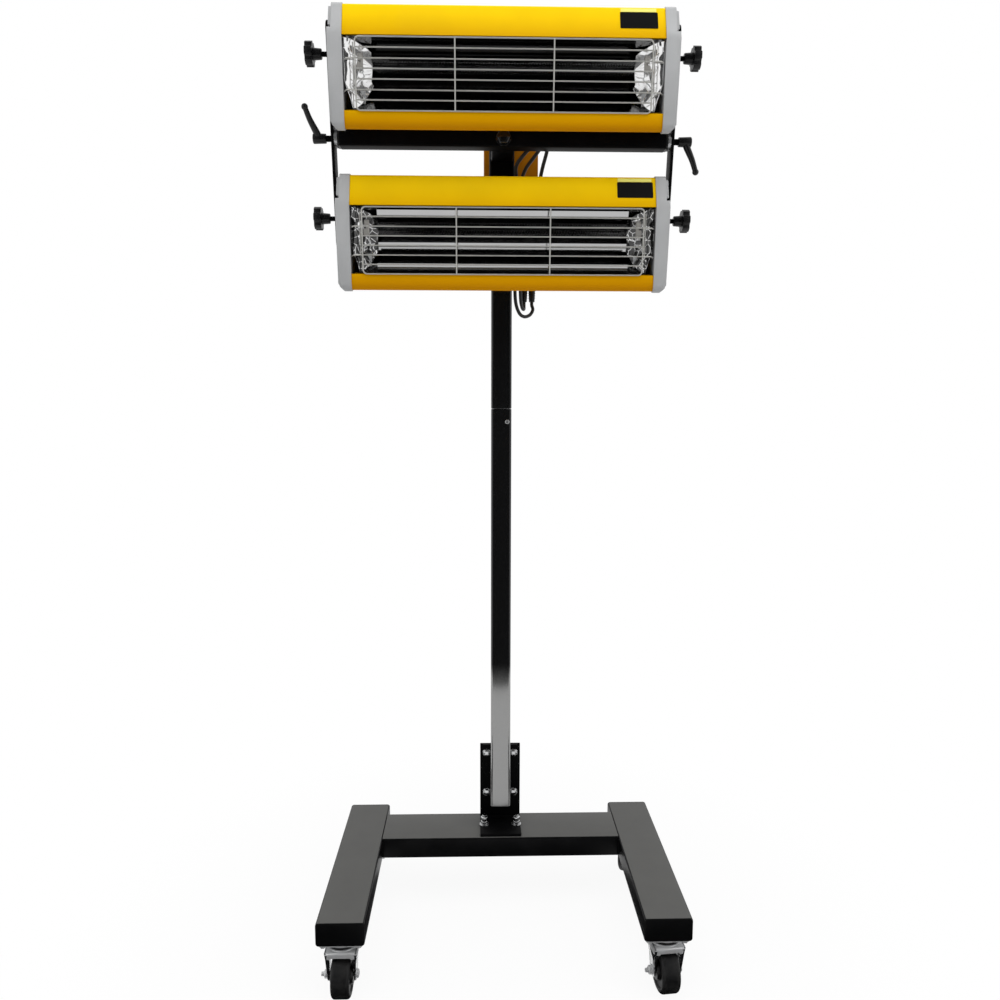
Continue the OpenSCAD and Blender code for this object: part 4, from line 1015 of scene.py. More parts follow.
class LAMP_OT_casters(bpy.types.Operator):
    """Model the four swivel casters"""
    bl_idname = "lamp.casters"
    bl_label = "Casters"

    foot = 27.5  # Lower end of the fork's side plates
    crown_low, crown = 84.5, 88  # Crown plate of the fork

    def plate(self, size):
        """Mounting plate, upper race and kingpin, round the swivel axis."""
        under = size.leg_low - 3
        plate = block("plate", (-37, -28, under), (37, 28, size.leg_low))
        work(plate, "EDGE", along(Z), bevel(6, 4))
        ease(plate, 0.5)
        cup = rod("cup", (0, 0, under - 2.4), (0, 0, under), 26.6, 48)
        work(cup, "EDGE", lambda edge: middle(edge).z < under - 2.3 and middle(edge).xy.length > 20,
             bevel(1, 3))
        ease(cup, 0)
        pin = rod("pin", (0, 0, 76), (0, 0, 92), 5, 24)
        nut = hex_piece("nut", (0, 0, 85), -Z, 8.5, 6, True)
        bolts = [hex_piece("bolt", (x, y, under), -Z, 5.6, 4.2) for x in (-29.5, 29.5) for y in (-20.5, 20.5)]
        return join("caster_plate", plate, cup, pin, nut, *bolts)

    def cheek(self, sign):
        """One side plate of the fork: wide at the crown, slanting in towards its round foot."""
        cheek = block("cheek", (20.5, -31, self.foot), (23.5, 16, self.crown))
        for ahead, slide in ((-1, 11), (1, -16)):
            work(cheek, "VERT", lambda vert: middle(vert).z < self.foot + 2.5 and middle(vert).y * ahead > 0,
                 nudge(0, slide, 0))
        work(cheek, "EDGE", along(X, lambda point: abs(point.z - self.foot) < 0.1), bevel(9, 6))
        work(cheek, "FACE", facing(X), cut((0, 0, 58), Z))
        work(cheek, "VERT", lambda vert: middle(vert).z > 80, nudge(3, 0, 0))
        ease(cheek, 0.7, 2)
        return cheek if sign > 0 else place(cheek, MIRROR)

    def flange(self, sign):
        """The edge of a side plate, turned in behind the wheel's front."""
        flange = block("flange", (17.5, -31, 46), (25.5, -28.6, self.crown_low))
        work(flange, "VERT", lambda vert: middle(vert).z < 50, nudge(-1.5, 8, 0))
        work(flange, "VERT", lambda vert: middle(vert).z < 50 and middle(vert).x < 20, nudge(3, 0, 12))
        ease(flange, 0.7)
        return flange if sign > 0 else place(flange, MIRROR)

    def fork(self, size):
        """Crown of the fork with its lower race, axle bolt and nut, and the fork's sides."""
        crown_low, crown = self.crown_low, self.crown
        ring = rod("crown", (0, 0, crown_low), (0, 0, crown + 1.6), 27.3, 48)
        work(ring, "EDGE", lambda edge: middle(edge).z > crown + 1.5 and middle(edge).xy.length > 20,
             bevel(1.2, 3))
        ease(ring, 0)
        apron = block("apron", (-26.5, -31, crown_low - 8), (26.5, 16, crown))
        work(apron, "EDGE", lambda edge: middle(edge).z > crown - 0.2 and middle(edge).y < -30.9, bevel(3, 4))
        work(apron, "EDGE", along(Z, lambda point: point.y < -28), bevel(9, 6))
        window = block("window", (-23.5, -28, crown_low - 9), (23.5, 20, crown_low))
        mouth = block("mouth", (-17.5, -40, crown_low - 9), (17.5, -20, crown_low - 5.5))
        work(mouth, "EDGE", along(Y, lambda point: point.z > crown_low - 6), bevel(3, 4))
        ease(carve(apron, window, mouth), 0.4)
        flanges = [self.flange(sign) for sign in (-1, 1)]

        def at(x):
            return x, -size.trail, size.wheel_r

        axle = rod("axle", at(-24), at(24), 4, 24)
        heads = [hex_piece("nut", at(-23.4), -X, 7.4, 6.4, True), rod("thread", at(-29), at(-35), 4, 24, 3.4),
                 pan_head("head", at(23.4), X, 7, 3.2)]
        discs = [washer("disc", at(sign * 23.0), X * sign, 8.6, 0.9) for sign in (-1, 1)]
        return (join("fork", ring, apron, axle, *heads, *discs),
                join("sides", *flanges, *[self.cheek(sign) for sign in (-1, 1)]))

    def wheel(self, size):
        """Tyre on its hub, with a thread guard on each side, round the axle."""
        half = size.wheel_w / 2
        tyre = rod("tyre", (-half, 0, 0), (half, 0, 0), size.wheel_r - 0.1, 96)
        work(tyre, "FACE", ends, inset(8.5))
        work(tyre, "EDGE", lambda edge: abs(abs(middle(edge).x) - half) < 0.1
             and middle(edge).length > size.wheel_r, bevel(5.5, 5))
        work(tyre, "FACE", lambda face: ends(face) and middle(face).yz.length < 5, inset(1.6, -2.6),
             inset(11, 0), inset(1.5, 1.8))
        ease(tyre, 0)
        guards = []
        for sign in (-1, 1):
            guard = rod("guard", (sign * (half - 4), 0, 0), (sign * (half + 3.6), 0, 0), 17.5, 48, 15)
            work(guard, "FACE", facing(X * sign), inset(4, -0.8), inset(4, 0.5))
            guards.append(ease(guard, 0.5))
        return tyre, join("thread_guards", *guards)

    def execute(self, context):
        size = in_mm(context.scene.lamp_stand)
        plate, (fork, sides), (tyre, guards) = self.plate(size), self.fork(size), self.wheel(size)
        seal = ease(rod("seal", (0, 0, 89), (0, 0, size.leg_low - 5), 24.8, 48), 0)
        turns = {("right", "front"): size.front_turn, ("right", "rear"): -size.rear_turn}
        plates, seals = [], []
        for side, end in ((side, end) for side in SIDES for end in ("front", "rear")):
            spot = caster_frame(side, end)
            plates.append(copy(plate, "plate_copy", spot))
            seals.append(copy(seal, "seal_copy", spot))
            swing = spot @ turn(turns.get((side, end), 0), "Z")
            hub = swing @ shift(0, -size.trail, size.wheel_r)
            name = end + "_" + side
            dress(fork, "caster_fork_" + name, swing, "bright zinc", "fork_" + name, "fork_" + name)
            dress(sides, "fork_sides_" + name, swing, "mirror zinc", "fork_" + name)
            dress(tyre, "caster_wheel_" + name, hub, "tyre rubber", "wheel_" + name, "wheel_" + name)
            dress(guards, "thread_guards_" + name, hub, "black plastic", "wheel_" + name)
        wear(join("caster_top_plates", *plates), "bright zinc", "stand", "caster_plates")
        wear(join("caster_race_seals", *seals), "black plastic", "stand")
        discard(plate, seal, fork, sides, tyre, guards)
        return {"FINISHED"}


# Mast and head

class LAMP_OT_mast(bpy.types.Operator):
    """Model the foot bracket with its bolts, and the mast in two lengths"""
    bl_idname = "lamp.mast"
    bl_label = "Mast and bracket"

    gap = 0.4  # Each length ends this far from the middle of the seam
    plate_half, plate_high, plate_t = 40, 160, 6  # The foot bracket
    flange_half, flange_high, flange_t = 35, 111, 4
    side_bolt_x, side_bolts_up = 27, (12, 95)  # Beside the mast, and up from its lower end
    foot_bolt_x, foot_bolt_y = 32, 102

    def execute(self, context):
        size, stand = in_mm(context.scene.lamp_mast), in_mm(context.scene.lamp_stand)
        half, back = size.side / 2, size.y + size.side / 2
        low, wide, plate_t, behind = stand.leg_high, self.plate_half, self.plate_t, back + self.flange_t
        upright = block("upright", (-wide, behind, low), (wide, behind + plate_t, low + self.plate_high))
        foot = block("foot", (-wide, 64, low), (wide, behind, low + plate_t))
        bead = bent("bead", [(-38, back + 3, low + 6.5), (38, back + 3, low + 6.5)], 2.2, 3)
        for plate in (upright, foot):
            ease(plate, 1.0)
        wear(join("foot_bracket", upright, foot, bead), "frame black", "stand", "mast_bracket")

        parts = []
        for x in (-self.side_bolt_x, self.side_bolt_x):
            for up in self.side_bolts_up:
                z = size.low + up
                parts += [hex_piece("head", (x, back - 1.2, z), -Y, 7.2, 4.1),
                          washer("disc", (x, back, z), -Y, 8.2, 1.2),
                          hex_piece("nut", (x, back + 10, z), Y, 7.2, 6.5, True),
                          rod("thread", (x, back + 10, z), (x, back + 20, z), 3.8, 20)]
        dark, top, y = [], low + plate_t, self.foot_bolt_y
        for x in (-self.foot_bolt_x, self.foot_bolt_x):
            parts += [hex_piece("nut", (x, y, top + 1.6), Z, 7.2, 6.8),
                      hex_piece("nut", (x, y, top + 9.8), Z, 7.2, 6.8, True),
                      ease(rod("thread", (x, y, top), (x, y, top + 20), 3.9, 24), 0.6, 1),
                      hex_piece("head", (x, y, stand.leg_low), -Z, 7.2, 5.3)]
            dark.append(washer("disc", (x, y, top), Z, 9.5, 1.6))
        wear(join("bracket_fasteners", *parts), "mirror zinc", "stand", "bracket_bolts")
        wear(join("dark_washers", *dark), "toothed steel", "stand")

        def mast_length(which, z0, z1):
            tube = block(f"mast_{which}_length", (-half, size.y - half, z0), (half, back, z1))
            work(tube, "EDGE", along(Z), bevel(4, 5))
            work(tube, "EDGE", lambda edge: abs(middle(edge).z - size.seam) < 1, bevel(0.8, 2))
            wear(ease(tube, 0), "mast enamel", "stand", "mast_" + which)

        mast_length("lower", size.low, size.seam - self.gap)
        flange = block("mast_flange", (-self.flange_half, back - 0.5, size.low),
                       (self.flange_half, behind, size.low + self.flange_high))
        wear(ease(flange, 0.8), "frame black", "stand")
        mast_length("upper", size.seam + self.gap, size.top)
        paint(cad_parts["mast_joiner"], "toothed steel")
        return {"FINISHED"}


class LAMP_OT_head(bpy.types.Operator):
    """Model the sleeve with its neck, the crossbeam and its clamping bolt"""
    bl_idname = "lamp.head"
    bl_label = "Head and crossbeam"

    def execute(self, context):
        size = in_mm(context.scene.lamp_mast)
        half, neck_half, sleeve_high = size.sleeve / 2, 20, 130
        front, top = size.y - half, size.top + 4
        sleeve = block("sleeve", (-half, front, top - sleeve_high), (half, size.y + half, top))
        work(sleeve, "EDGE", along(Z), bevel(5, 5))
        work(sleeve, "EDGE", lambda edge: middle(edge).z > top - 0.1 and abs(edge.calc_face_angle(0)) > 0.5,
             bevel(2, 3))
        ease(sleeve, 0)
        axis = size.beam_z
        beam_front, beam_back = size.beam_y - size.beam_s / 2, size.beam_y + size.beam_s / 2
        beam_low, beam_high = axis - size.beam_s / 2, axis + size.beam_s / 2
        neck = block("neck", (-neck_half, beam_back, beam_low), (neck_half, front + 2, beam_high))
        work(neck, "EDGE", along(Y), bevel(3, 4))
        ease(neck, 0.4)
        rim = [(-20, -12), (-20, 12), (-18, 14.5), (18, 14.5), (20, 12), (20, -12)]
        collar = bent("bead", [(x, front - 0.5, axis + z) for x, z in rim], 1.8, 3)
        pad = ease(block("pad", (-15, size.y + 19, 1215), (15, size.y + half, 1245)), 1)
        wear(join("sleeve_and_neck", sleeve, neck, collar, pad), "frame black", "stand", "head_sleeve")

        span = size.beam_half - 4
        beam = block("crossbeam_tube", (-span, beam_front, beam_low), (span, beam_back, beam_high))
        work(beam, "EDGE", along(X), bevel(3, 4))
        wear(ease(beam, 0), "frame black", "stand", "crossbeam")
        plugs = []
        for sign in (-1, 1):
            x0, x1 = sorted((sign * span, sign * size.beam_half))
            plug = block("plug", (x0, beam_front, beam_low), (x1, beam_back, beam_high))
            work(plug, "EDGE", along(X), bevel(6, 5))
            plugs.append(ease(plug, 0.6))
        wear(join("crossbeam_plugs", *plugs), "black plastic", "stand", "beam_plugs")

        thread = rod("thread", (0, beam_front - 10, axis), (0, beam_front - 13.6, axis), 7.6, 28)
        parts = [washer("disc", (0, beam_front, axis), -Y, 13, 1.6),
                 hex_piece("head", (0, beam_front - 1.6, axis), -Y, 12, 10), ease(thread, 0.8),
                 hex_piece("nut", (0, beam_back + 8, axis), Y, 10.6, 9)]
        wear(join("clamping_bolt", *parts), "mast enamel", "stand", "king_bolt", slot="zinc")

        screw = pan_head("mast_seam_screw", (11, size.y - size.side / 2, size.seam - 24), -Y, 4, 1.8)
        wear(screw, "toothed steel", "stand", "mast_screws")
        return {"FINISHED"}


# Arms

class LAMP_OT_arms(bpy.types.Operator):
    """Model the swing arms, their discs, the clamp levers and the star knobs"""
    bl_idname = "lamp.arms"
    bl_label = "Arms, levers and knobs"

    def arm(self, size):
        """Right arm, upright round its pivot."""
        arm = block("arm", (size.inner, -size.width / 2, -size.half), (size.outer, size.width / 2, size.half))
        work(arm, "EDGE", along(X), bevel(size.width / 2 - 0.05, 10))
        return ease(arm, 0.9, 3)

    def toothed_disc(self, size):
        """Toothed disc between the crossbeam and the right arm."""
        count, pitch_radius = 30, 13.6
        teeth = [rod("disc", (size.inner - 5, 0, 0), (size.inner, 0, 0), 15, 96)]
        for step in range(count):
            around = step * math.tau / count
            way = Matrix.Rotation(around, 3, "X") @ Y * pitch_radius
            teeth.append(rod("tooth", X * (size.inner - 4.6) + way, X * (size.inner - 0.4) + way, 1.5, 4,
                             turned=around))
        return ease(join("disc", *teeth), 0)

    def lever(self, size):
        """Right clamp lever pointing up: hub with a screw, tapered grip and ball end."""
        near, far = size.outer + 10, size.outer + 32
        hub = rod("hub", (near, 0, 0), (far, 0, 0), 7.8, 40, 8.6)
        work(hub, "EDGE", lambda edge: middle(edge).yz.length > 5 and abs(middle(edge).x - far) < 0.1,
             bevel(2.2, 4))
        work(hub, "FACE", facing(X), inset(2), push(X, -1.4))
        ease(hub, 0.4)
        cap = ease(rod("cap", (far - 2, 0, 0), (far - 0.2, 0, 0), 3.2, 24), 0.5)
        x0, reach = size.outer + 23, size.lever_reach - 5
        route = smooth_route([(x0, 0, 2), (x0 + 1.5, 0, 9), (x0 + 6, 0, 20), (x0 + 11, 0, 33),
                              (x0 + 16, 0, reach)], 5)
        last, thick, taper = len(route) - 1, 6.4, 2.1
        grip = bent("grip", route, 1, 6, radii=[thick - taper * step / last for step in range(last + 1)])
        end = ball("end", (x0 + 16, 0, reach), 5.5)
        return ease(join("lever", hub, cap, grip, end), 0)

    def stud(self, size, inner, radius):
        """Threaded stud, for levers and knobs."""
        parts = [rod("stud", (inner, 0, 0), (size.outer + 11, 0, 0), radius - 0.25, 24)]
        pitch, rise, turns = 1.25, 0.62, 6
        valley, crest = radius - 0.2, radius + 0.25
        for step in range(turns):
            x = size.outer + 1.6 + step * pitch
            parts += [rod("thread", (x, 0, 0), (x + rise, 0, 0), valley, 24, crest),
                      rod("thread", (x + rise, 0, 0), (x + pitch, 0, 0), crest, 24, valley)]
        return ease(join("stud", *parts), 0)

    def star(self, size):
        """Right star knob: hub and a head with six lobes."""
        near = size.outer + 24
        far = near + size.star_t
        head = rod("head", (near, 0, 0), (far, 0, 0), size.star_r, 72)
        scallops, lobes = [], 6
        for step in range(lobes):
            way = Matrix.Rotation(step * math.tau / lobes, 3, "X") @ Z * (size.star_r + 2.6)
            scallops.append(rod("scallop", X * (near - 1) + way, X * (far + 1) + way, 5.6, 28))
        carve(head, *scallops)
        dull(head, 2.4, 4, 50)
        carve(head, rod("dish", (far - 1.6, 0, 0), (far + 1, 0, 0), 8, 40))
        ease(head, 0.35, 2, 50)
        start = size.outer + 10
        hub = rod("hub", (start, 0, 0), (near + 1, 0, 0), 8.4, 40, 9.6)
        work(hub, "EDGE", lambda edge: abs(middle(edge).x - start) < 0.1 and middle(edge).yz.length > 5,
             bevel(1.2, 3))
        ease(hub, 0)
        boss = ease(rod("boss", (far - 2, 0, 0), (far - 0.6, 0, 0), 4.2, 24), 0.5)
        return join("star", head, hub, boss)

    def execute(self, context):
        size = in_mm(context.scene.lamp_arms)
        mast = in_mm(context.scene.lamp_mast)
        arm, disc, lever, star = self.arm(size), self.toothed_disc(size), self.lever(size), self.star(size)
        lever_stud, star_stud = self.stud(size, size.inner - 26, 5), self.stud(size, size.inner - 15, 4)
        friction = ease(rod("friction", (size.inner - 1, 0, 0), (size.inner, 0, 0), 14, 48), 0.2, 1)
        pivot, lean = shift(0, mast.beam_y, mast.beam_z), arm_frame()
        discs = []
        for side, flip, degrees in (("left", MIRROR, 36), ("right", Matrix.Identity(4), 172)):
            dress(arm, "swing_arm_" + side, lean @ flip, "frame black", "arms", "arm_" + side)
            discs.append(copy(disc, "disc_copy", lean @ flip))
            for sign in (-1, 1):
                discs.append(copy(friction, "friction_copy", lean @ shift(0, 0, sign * size.reach) @ flip))
            held, body = pivot @ turn(math.radians(degrees), "X") @ flip, "clamp_lever_" + side
            dress(lever, "lever_grip_" + side, held, "black plastic", body, body)
            dress(lever_stud, "lever_stud_" + side, held, "frame black", body, slot="zinc")
            for which, sign in CASSETTES.items():
                held = Matrix.Translation(lean @ Vector((0, 0, sign * size.reach))) @ flip
                body = which + "_knob_" + side
                dress(star, f"{which}_star_{side}", held, "black plastic", body, body)
                dress(star_stud, f"{which}_stud_{side}", held, "frame black", body, slot="zinc")
        wear(join("toothed_discs", *discs), "toothed steel", "arms", "arm_discs")
        discard(arm, disc, lever, star, lever_stud, star_stud, friction)
        return {"FINISHED"}


# Cassettes, modelled round their tilt axis: X along the tube, Y back and Z up

def band_slope(size):
    """Lean of the upper band."""
    return math.atan2(size.band_back, size.top - size.open_top)


def outline_cuts(size, grow):
    """Planes that give a block the cassette's outline, grown by some millimetres."""
    slope = band_slope(size)
    rise = size.under_rise
    nose = Vector((0, -size.front + size.nose, -size.low + size.nose))
    under = Vector((0, math.sin(rise), -math.cos(rise)))
    brow = Vector((0, -math.cos(slope), math.sin(slope)))
    lip = Vector((0, -size.front, size.open_top))
    return SimpleNamespace(under_point=nose + under * (size.nose + grow), under=under,
                           brow_point=lip + brow * grow, brow=brow, slope=slope)


def cassette_block(size, name, x0, x1, grow=0):
    """A solid length of the cassette's cross-section."""
    cuts = outline_cuts(size, grow)
    front, rear, top = -size.front - grow, size.rear + grow, size.top + grow
    body = block(name, (x0, front, -size.low - 70), (x1, rear, top))
    work(body, "FACE", everywhere, cut(cuts.under_point, cuts.under, True))
    work(body, "FACE", everywhere, cut(cuts.brow_point, cuts.brow, True))
    rise = size.under_rise

    def near(v, u):
        return along(X, lambda point: abs(point.z - v) < 3 and abs(point.y - u) < 3)

    def under_at(u):
        return cuts.under_point.z + (u - cuts.under_point.y) * math.tan(rise)

    nose_offset = (size.nose + grow) / math.tan((math.pi / 2 - rise) / 2)
    heel_offset = (size.heel + grow) / math.tan((math.pi / 2 + rise) / 2)
    brow_offset = (size.brow + grow) / math.tan((math.pi / 2 + cuts.slope) / 2)
    brow_u = front + (size.top - size.open_top + grow) * math.tan(cuts.slope)
    work(body, "EDGE", near(under_at(front), front), bevel(nose_offset, 10))
    work(body, "EDGE", near(under_at(rear), rear), bevel(heel_offset, 8))
    work(body, "EDGE", near(top, rear), bevel(size.back + grow, 10))
    work(body, "EDGE", along(X, lambda point: abs(point.z - top) < 1 and abs(point.y - brow_u) < 8),
         bevel(brow_offset, 5))
    return body


def both(piece, name, spot, right="right_copy", left="left_copy"):
    """A piece and its mirror image, as one."""
    return join(name, copy(piece, right, spot), copy(piece, left, spot @ MIRROR))


class LAMP_OT_housings(bpy.types.Operator):
    """Model the yellow housings with their bare black plates"""
    bl_idname = "lamp.housings"
    bl_label = "Housings"

    def housing(self, size):
        shell = cassette_block(size, "housing", -size.half, size.half)
        front = -size.front
        work(shell, "FACE", everywhere, cut((0, front, size.open_top - 0.6), Z))
        work(shell, "FACE", everywhere, cut((0, front, -size.open_low), Z))
        work(shell, "FACE", ends, REMOVE_FACES)
        work(shell, "FACE", facing(-Y, lambda point: -size.open_low < point.z < size.open_top and
                                   abs(point.y - front) < 0.5), REMOVE_FACES)
        # The lips turn inwards, so that the sheet's edge isn't raw
        work(shell, "EDGE", lambda edge: edge.is_boundary and abs(middle(edge).x) < 1
             and abs(middle(edge).y - front) < 0.5, push(Y, 5))
        modify(shell, "SOLIDIFY", thickness=1.4 * MM, offset=-1)
        dull(shell, 0.7, 3, 50)
        return ease(shell, 0)

    def plate(self, size, name, x0, x1, v0, v1, thickness):
        """A thin plate with round corners on the sloped upper band."""
        plate = block(name, (x0, -thickness, v0), (x1, 0.05, v1))
        work(plate, "EDGE", along(Y), bevel(1.6, 4))
        ease(plate, 0.25, 1)
        return place(plate, shift(0, -size.front, size.open_top) @ turn(-band_slope(size), "X"))

    def execute(self, context):
        size = in_mm(context.scene.lamp_cassette)
        housing = self.housing(size)
        plate = self.plate(size, "plate", -30.5, 30.5, 16.5, 45, 0.9)
        sticker = self.plate(size, "sticker", -29.5, 28.5, 45.6, 52, 0.5)
        for which, plate_x in (("upper", 216), ("lower", 224)):
            spot, body = cassette_frame(which), which + "_cassette"
            mark = spot @ shift(plate_x, 0, 0)
            dress(housing, which + "_housing_shell", spot, "lamp yellow", body, which + "_housing")
            dress(plate, which + "_bare_plate", mark, "plate enamel", body)
            dress(sticker, which + "_bare_strip", mark, "strip yellow", body)
        discard(housing, plate, sticker)
        return {"FINISHED"}


class LAMP_OT_caps(bpy.types.Operator):
    """Model the vented end caps"""
    bl_idname = "lamp.caps"
    bl_label = "End caps"

    lip = 2  # How far a cap stands over the housing
    step, step_v = 6, 29  # The upper part lies deeper, from this height on
    cut_w, cut_h = 9, 23  # Slanting cut along the lower edge

    def cap(self, size):
        """Right end cap: a tray whose upper part is set in and carries the vents."""
        near, far = size.half, size.cap_out
        cap = cassette_block(size, "cap", near, far - self.step, self.lip)
        work(cap, "FACE", everywhere, cut((0, 0, self.step_v), Z))
        work(cap, "FACE", facing(X, lambda point: point.z < self.step_v), push(X, self.step))
        work(cap, "FACE", facing(X, lambda point: point.z > self.step_v), inset(5.5),
             push(X, self.step - 0.8))
        work(cap, "FACE", everywhere,
             cut((far - self.cut_w, 0, -size.low - self.lip), (self.cut_h, 0, -self.cut_w), True))
        work(cap, "EDGE", lambda edge: middle(edge).x > far - 1 and middle(edge).z < -size.low + 40
             and slant(edge, X) < 0.2, bevel(7, 4))
        slots, pitch, count = [], 9, 4
        for index in range(count):
            slot = block("slot", (far - 4, 0, 0), (far + 2, 4, 18))
            work(slot, "EDGE", along(X), bevel(1.9, 4))
            spot = shift(0, -size.front + 12 + index * pitch, self.step_v + 5) @ turn(-band_slope(size), "X")
            slots.append(place(slot, spot))
        carve(cap, *slots)
        return ease(cap, 1.4, 3, 40)

    def execute(self, context):
        right = self.cap(in_mm(context.scene.lamp_cassette))
        for which in CASSETTES:
            pair = both(right, which + "_end_caps", cassette_frame(which), "cap_right", "cap_left")
            wear(pair, "cap grey", which + "_cassette", which + "_caps")
        discard(right)
        return {"FINISHED"}


class LAMP_OT_reflectors(bpy.types.Operator):
    """Model the mirror troughs with their crumpled end sheets, the quartz tubes and their shoes"""
    bl_idname = "lamp.reflectors"
    bl_label = "Reflectors and tubes"

    gap = 6  # From the middle of the quartz tube to the middle of a bore

    def trough(self, size):
        """Polished trough: steep upper wall, round back and flatter lower wall."""
        half = size.half - 5.6
        mouth, depth = -size.front + 2.2, 13
        trough = block("trough", (-half, mouth, -size.open_low + 1), (half, depth, size.open_top - 1))
        work(trough, "VERT", lambda vert: vert.co.y > 0 and vert.co.z > 0, nudge(0, 0, -15))
        work(trough, "VERT", lambda vert: vert.co.y > 0 and vert.co.z < 0, nudge(0, 0, 43))
        work(trough, "EDGE", along(X, lambda point: point.y > 0 and point.z > -10), bevel(14, 8))
        work(trough, "EDGE", along(X, lambda point: point.y > 0 and point.z < -30), bevel(20, 8))
        work(trough, "FACE", lambda face: ends(face) or face.normal.y < -0.9, REMOVE_FACES)
        modify(trough, "SOLIDIFY", thickness=0.9 * MM, offset=-1)
        return ease(trough, 0)

    def end_sheet(self, size):
        """Right end sheet: slants in towards the back, folded along its lower corner and crumpled."""
        outer, inner = size.half - 1.5, size.half - 43
        mouth, depth = -size.front + 3, -12
        top, low = size.open_top - 2.5, -size.open_low + 2.5
        deselect()
        bpy.ops.mesh.primitive_grid_add(x_subdivisions=26, y_subdivisions=44, size=1)
        sheet = fix(bpy.context.object, "sheet")
        for vert in sheet.data.vertices:
            back, up = vert.co.x + 0.5, vert.co.y + 0.5
            high = top - 15.5 * back ** 1.6
            foot = low + 43 * back ** 1.3
            fold = max(0, 0.4 - up - back * 0.3)
            x = outer - (outer - inner) * back ** 0.8 - fold * 34
            vert.co = Vector((x, mouth + (depth - mouth) * back, foot + (high - foot) * up)) * MM
        modify(sheet, "SUBSURF", levels=1, render_levels=1)
        clouds = bpy.data.textures.new("crumple", "CLOUDS")
        clouds.noise_scale = 0.036
        clouds.noise_depth = 1
        modify(sheet, "DISPLACE", texture=clouds, strength=-9 * MM, mid_level=0.5, texture_coords="GLOBAL")
        creases = bpy.data.textures.new("creases", "VORONOI")
        creases.noise_scale = 0.027
        modify(sheet, "DISPLACE", texture=creases, strength=4.2 * MM, mid_level=0.3, texture_coords="GLOBAL")
        work(sheet, "VERT", lambda vert: vert.co.x / MM > size.half - 0.8, nudge(-2.5, 0, 0))
        modify(sheet, "SOLIDIFY", thickness=0.5 * MM, offset=0)
        take(sheet)
        bpy.ops.object.shade_smooth()
        return sheet

    def ridges(self, size):
        """Three narrow folds along the trough: above the tube, below it and near the lower lip; they carry
        the lower trough's painted highlight bands.
        """
        reach, lean = size.half - 44, math.radians(25)
        folds = []
        for u, v, high in ((-27, 8.5, 5.5), (-14, -46, 7), (-36, -80.5, 5)):
            fold = ease(block("fold", (-reach, -0.5, -high), (reach, 0.5, high)), 0.2, 1)
            folds.append(place(fold, shift(0, u, v) @ turn(lean, "X")))
        return join("folds", *folds)

    def tube(self, size):
        """Flat quartz twin tube: two round bores with a web between them and pinched ends."""
        reach, u, v = 230, size.tube_u, size.tube_v
        tube, other = [rod("bore", (-reach, u, v + sign * self.gap), (reach, u, v + sign * self.gap), 5.5, 32)
                       for sign in (-1, 1)]
        web = block("web", (-reach, u - 1.6, v - 4), (reach, u + 1.6, v + 4))
        for piece in (other, web):
            modify(tube, "BOOLEAN", object=piece, operation="UNION", solver="EXACT")
            discard(piece)
        return ease(tube, 0.6, 2)

    def heater(self, size, sign):
        """One coiled heating wire inside a bore."""
        u, v = size.tube_u, size.tube_v + sign * self.gap
        turns, steps, reach, radius = 92, 8, 212, 1.9
        points = []
        for index in range(turns * steps + 1):
            around = math.tau * index / steps
            x = -reach + 2 * reach * index / (turns * steps)
            points.append((x, u + radius * math.cos(around), v + radius * math.sin(around)))
        return bent("heater", points, 0.45, 0)

    def shoe(self, size):
        """Right ceramic shoe with its spring clip."""
        u, v = size.tube_u, size.tube_v
        shoe = block("shoe", (229, u - 21, v - 13.5), (241, u + 8, v + 13.5))
        work(shoe, "EDGE", along(X), bevel(3.5, 4))
        work(shoe, "FACE", facing(X), inset(2.5), push(X, 3))
        ease(shoe, 0.8)
        carve(shoe, block("waist", (232, u - 25, v - 1.6), (243, u - 18.6, v + 1.6)))
        neck = ease(rod("neck", (240, u, v), (size.half - 6, u, v), 6.5, 32, 5), 0.6)
        return join("shoe", shoe, neck)

    def clip(self, size):
        """Right spring clip: a bent wire that ends in an eye, and the grey strut below it."""
        u, v = size.tube_u - 21, size.tube_v
        eye = [(231 + 3 * math.cos(math.radians(way)), u - 4, v - 16 + 3 * math.sin(math.radians(way)))
               for way in range(-30, 250, 20)]
        wire = bent("clip", eye + [(226, u - 4, v - 24), (236, u - 7, v - 33), (243, u - 4, v - 41)], 1.0, 3)
        strut = block("strut", (226, u + 2, -size.open_low + 8), (238, u + 3.4, v - 44))
        work(strut, "EDGE", along(Y), bevel(2, 3))
        ease(strut, 0.3)
        return join("clip", wire, strut)

    def execute(self, context):
        size = in_mm(context.scene.lamp_cassette)
        trough, sheet, tube = self.trough(size), self.end_sheet(size), self.tube(size)
        shoe, clip = self.shoe(size), self.clip(size)
        heaters, ridges = join("heaters", self.heater(size, -1), self.heater(size, 1)), self.ridges(size)
        # The lower end sheets get painted shade and painted highlights; the upper ones are plain bright
        # mirror
        for which, foil in (("upper", "crumpled mirror"), ("lower", "smoked mirror")):
            spot, body = cassette_frame(which), which + "_cassette"
            dress(trough, which + "_trough", spot, "mirror sheet", body, which + "_reflector")
            wear(both(sheet, which + "_end_sheets", spot), foil, body)
            # Only the lower trough gets the lighter folds: painted highlight bands
            if which == "lower":
                dress(ridges, "lower_trough_folds", spot, "ridge mirror", body)
            dress(tube, which + "_twin_tube", spot, "quartz glass", body, which + "_tube")
            dress(heaters, which + "_heaters", spot, "dark coil", body)
            wear(both(shoe, which + "_shoes", spot), "fired ceramic", body, which + "_holders")
            wear(both(clip, which + "_clips", spot), "bright zinc", body)
        discard(trough, ridges, sheet, tube, shoe, clip, heaters)
        return {"FINISHED"}


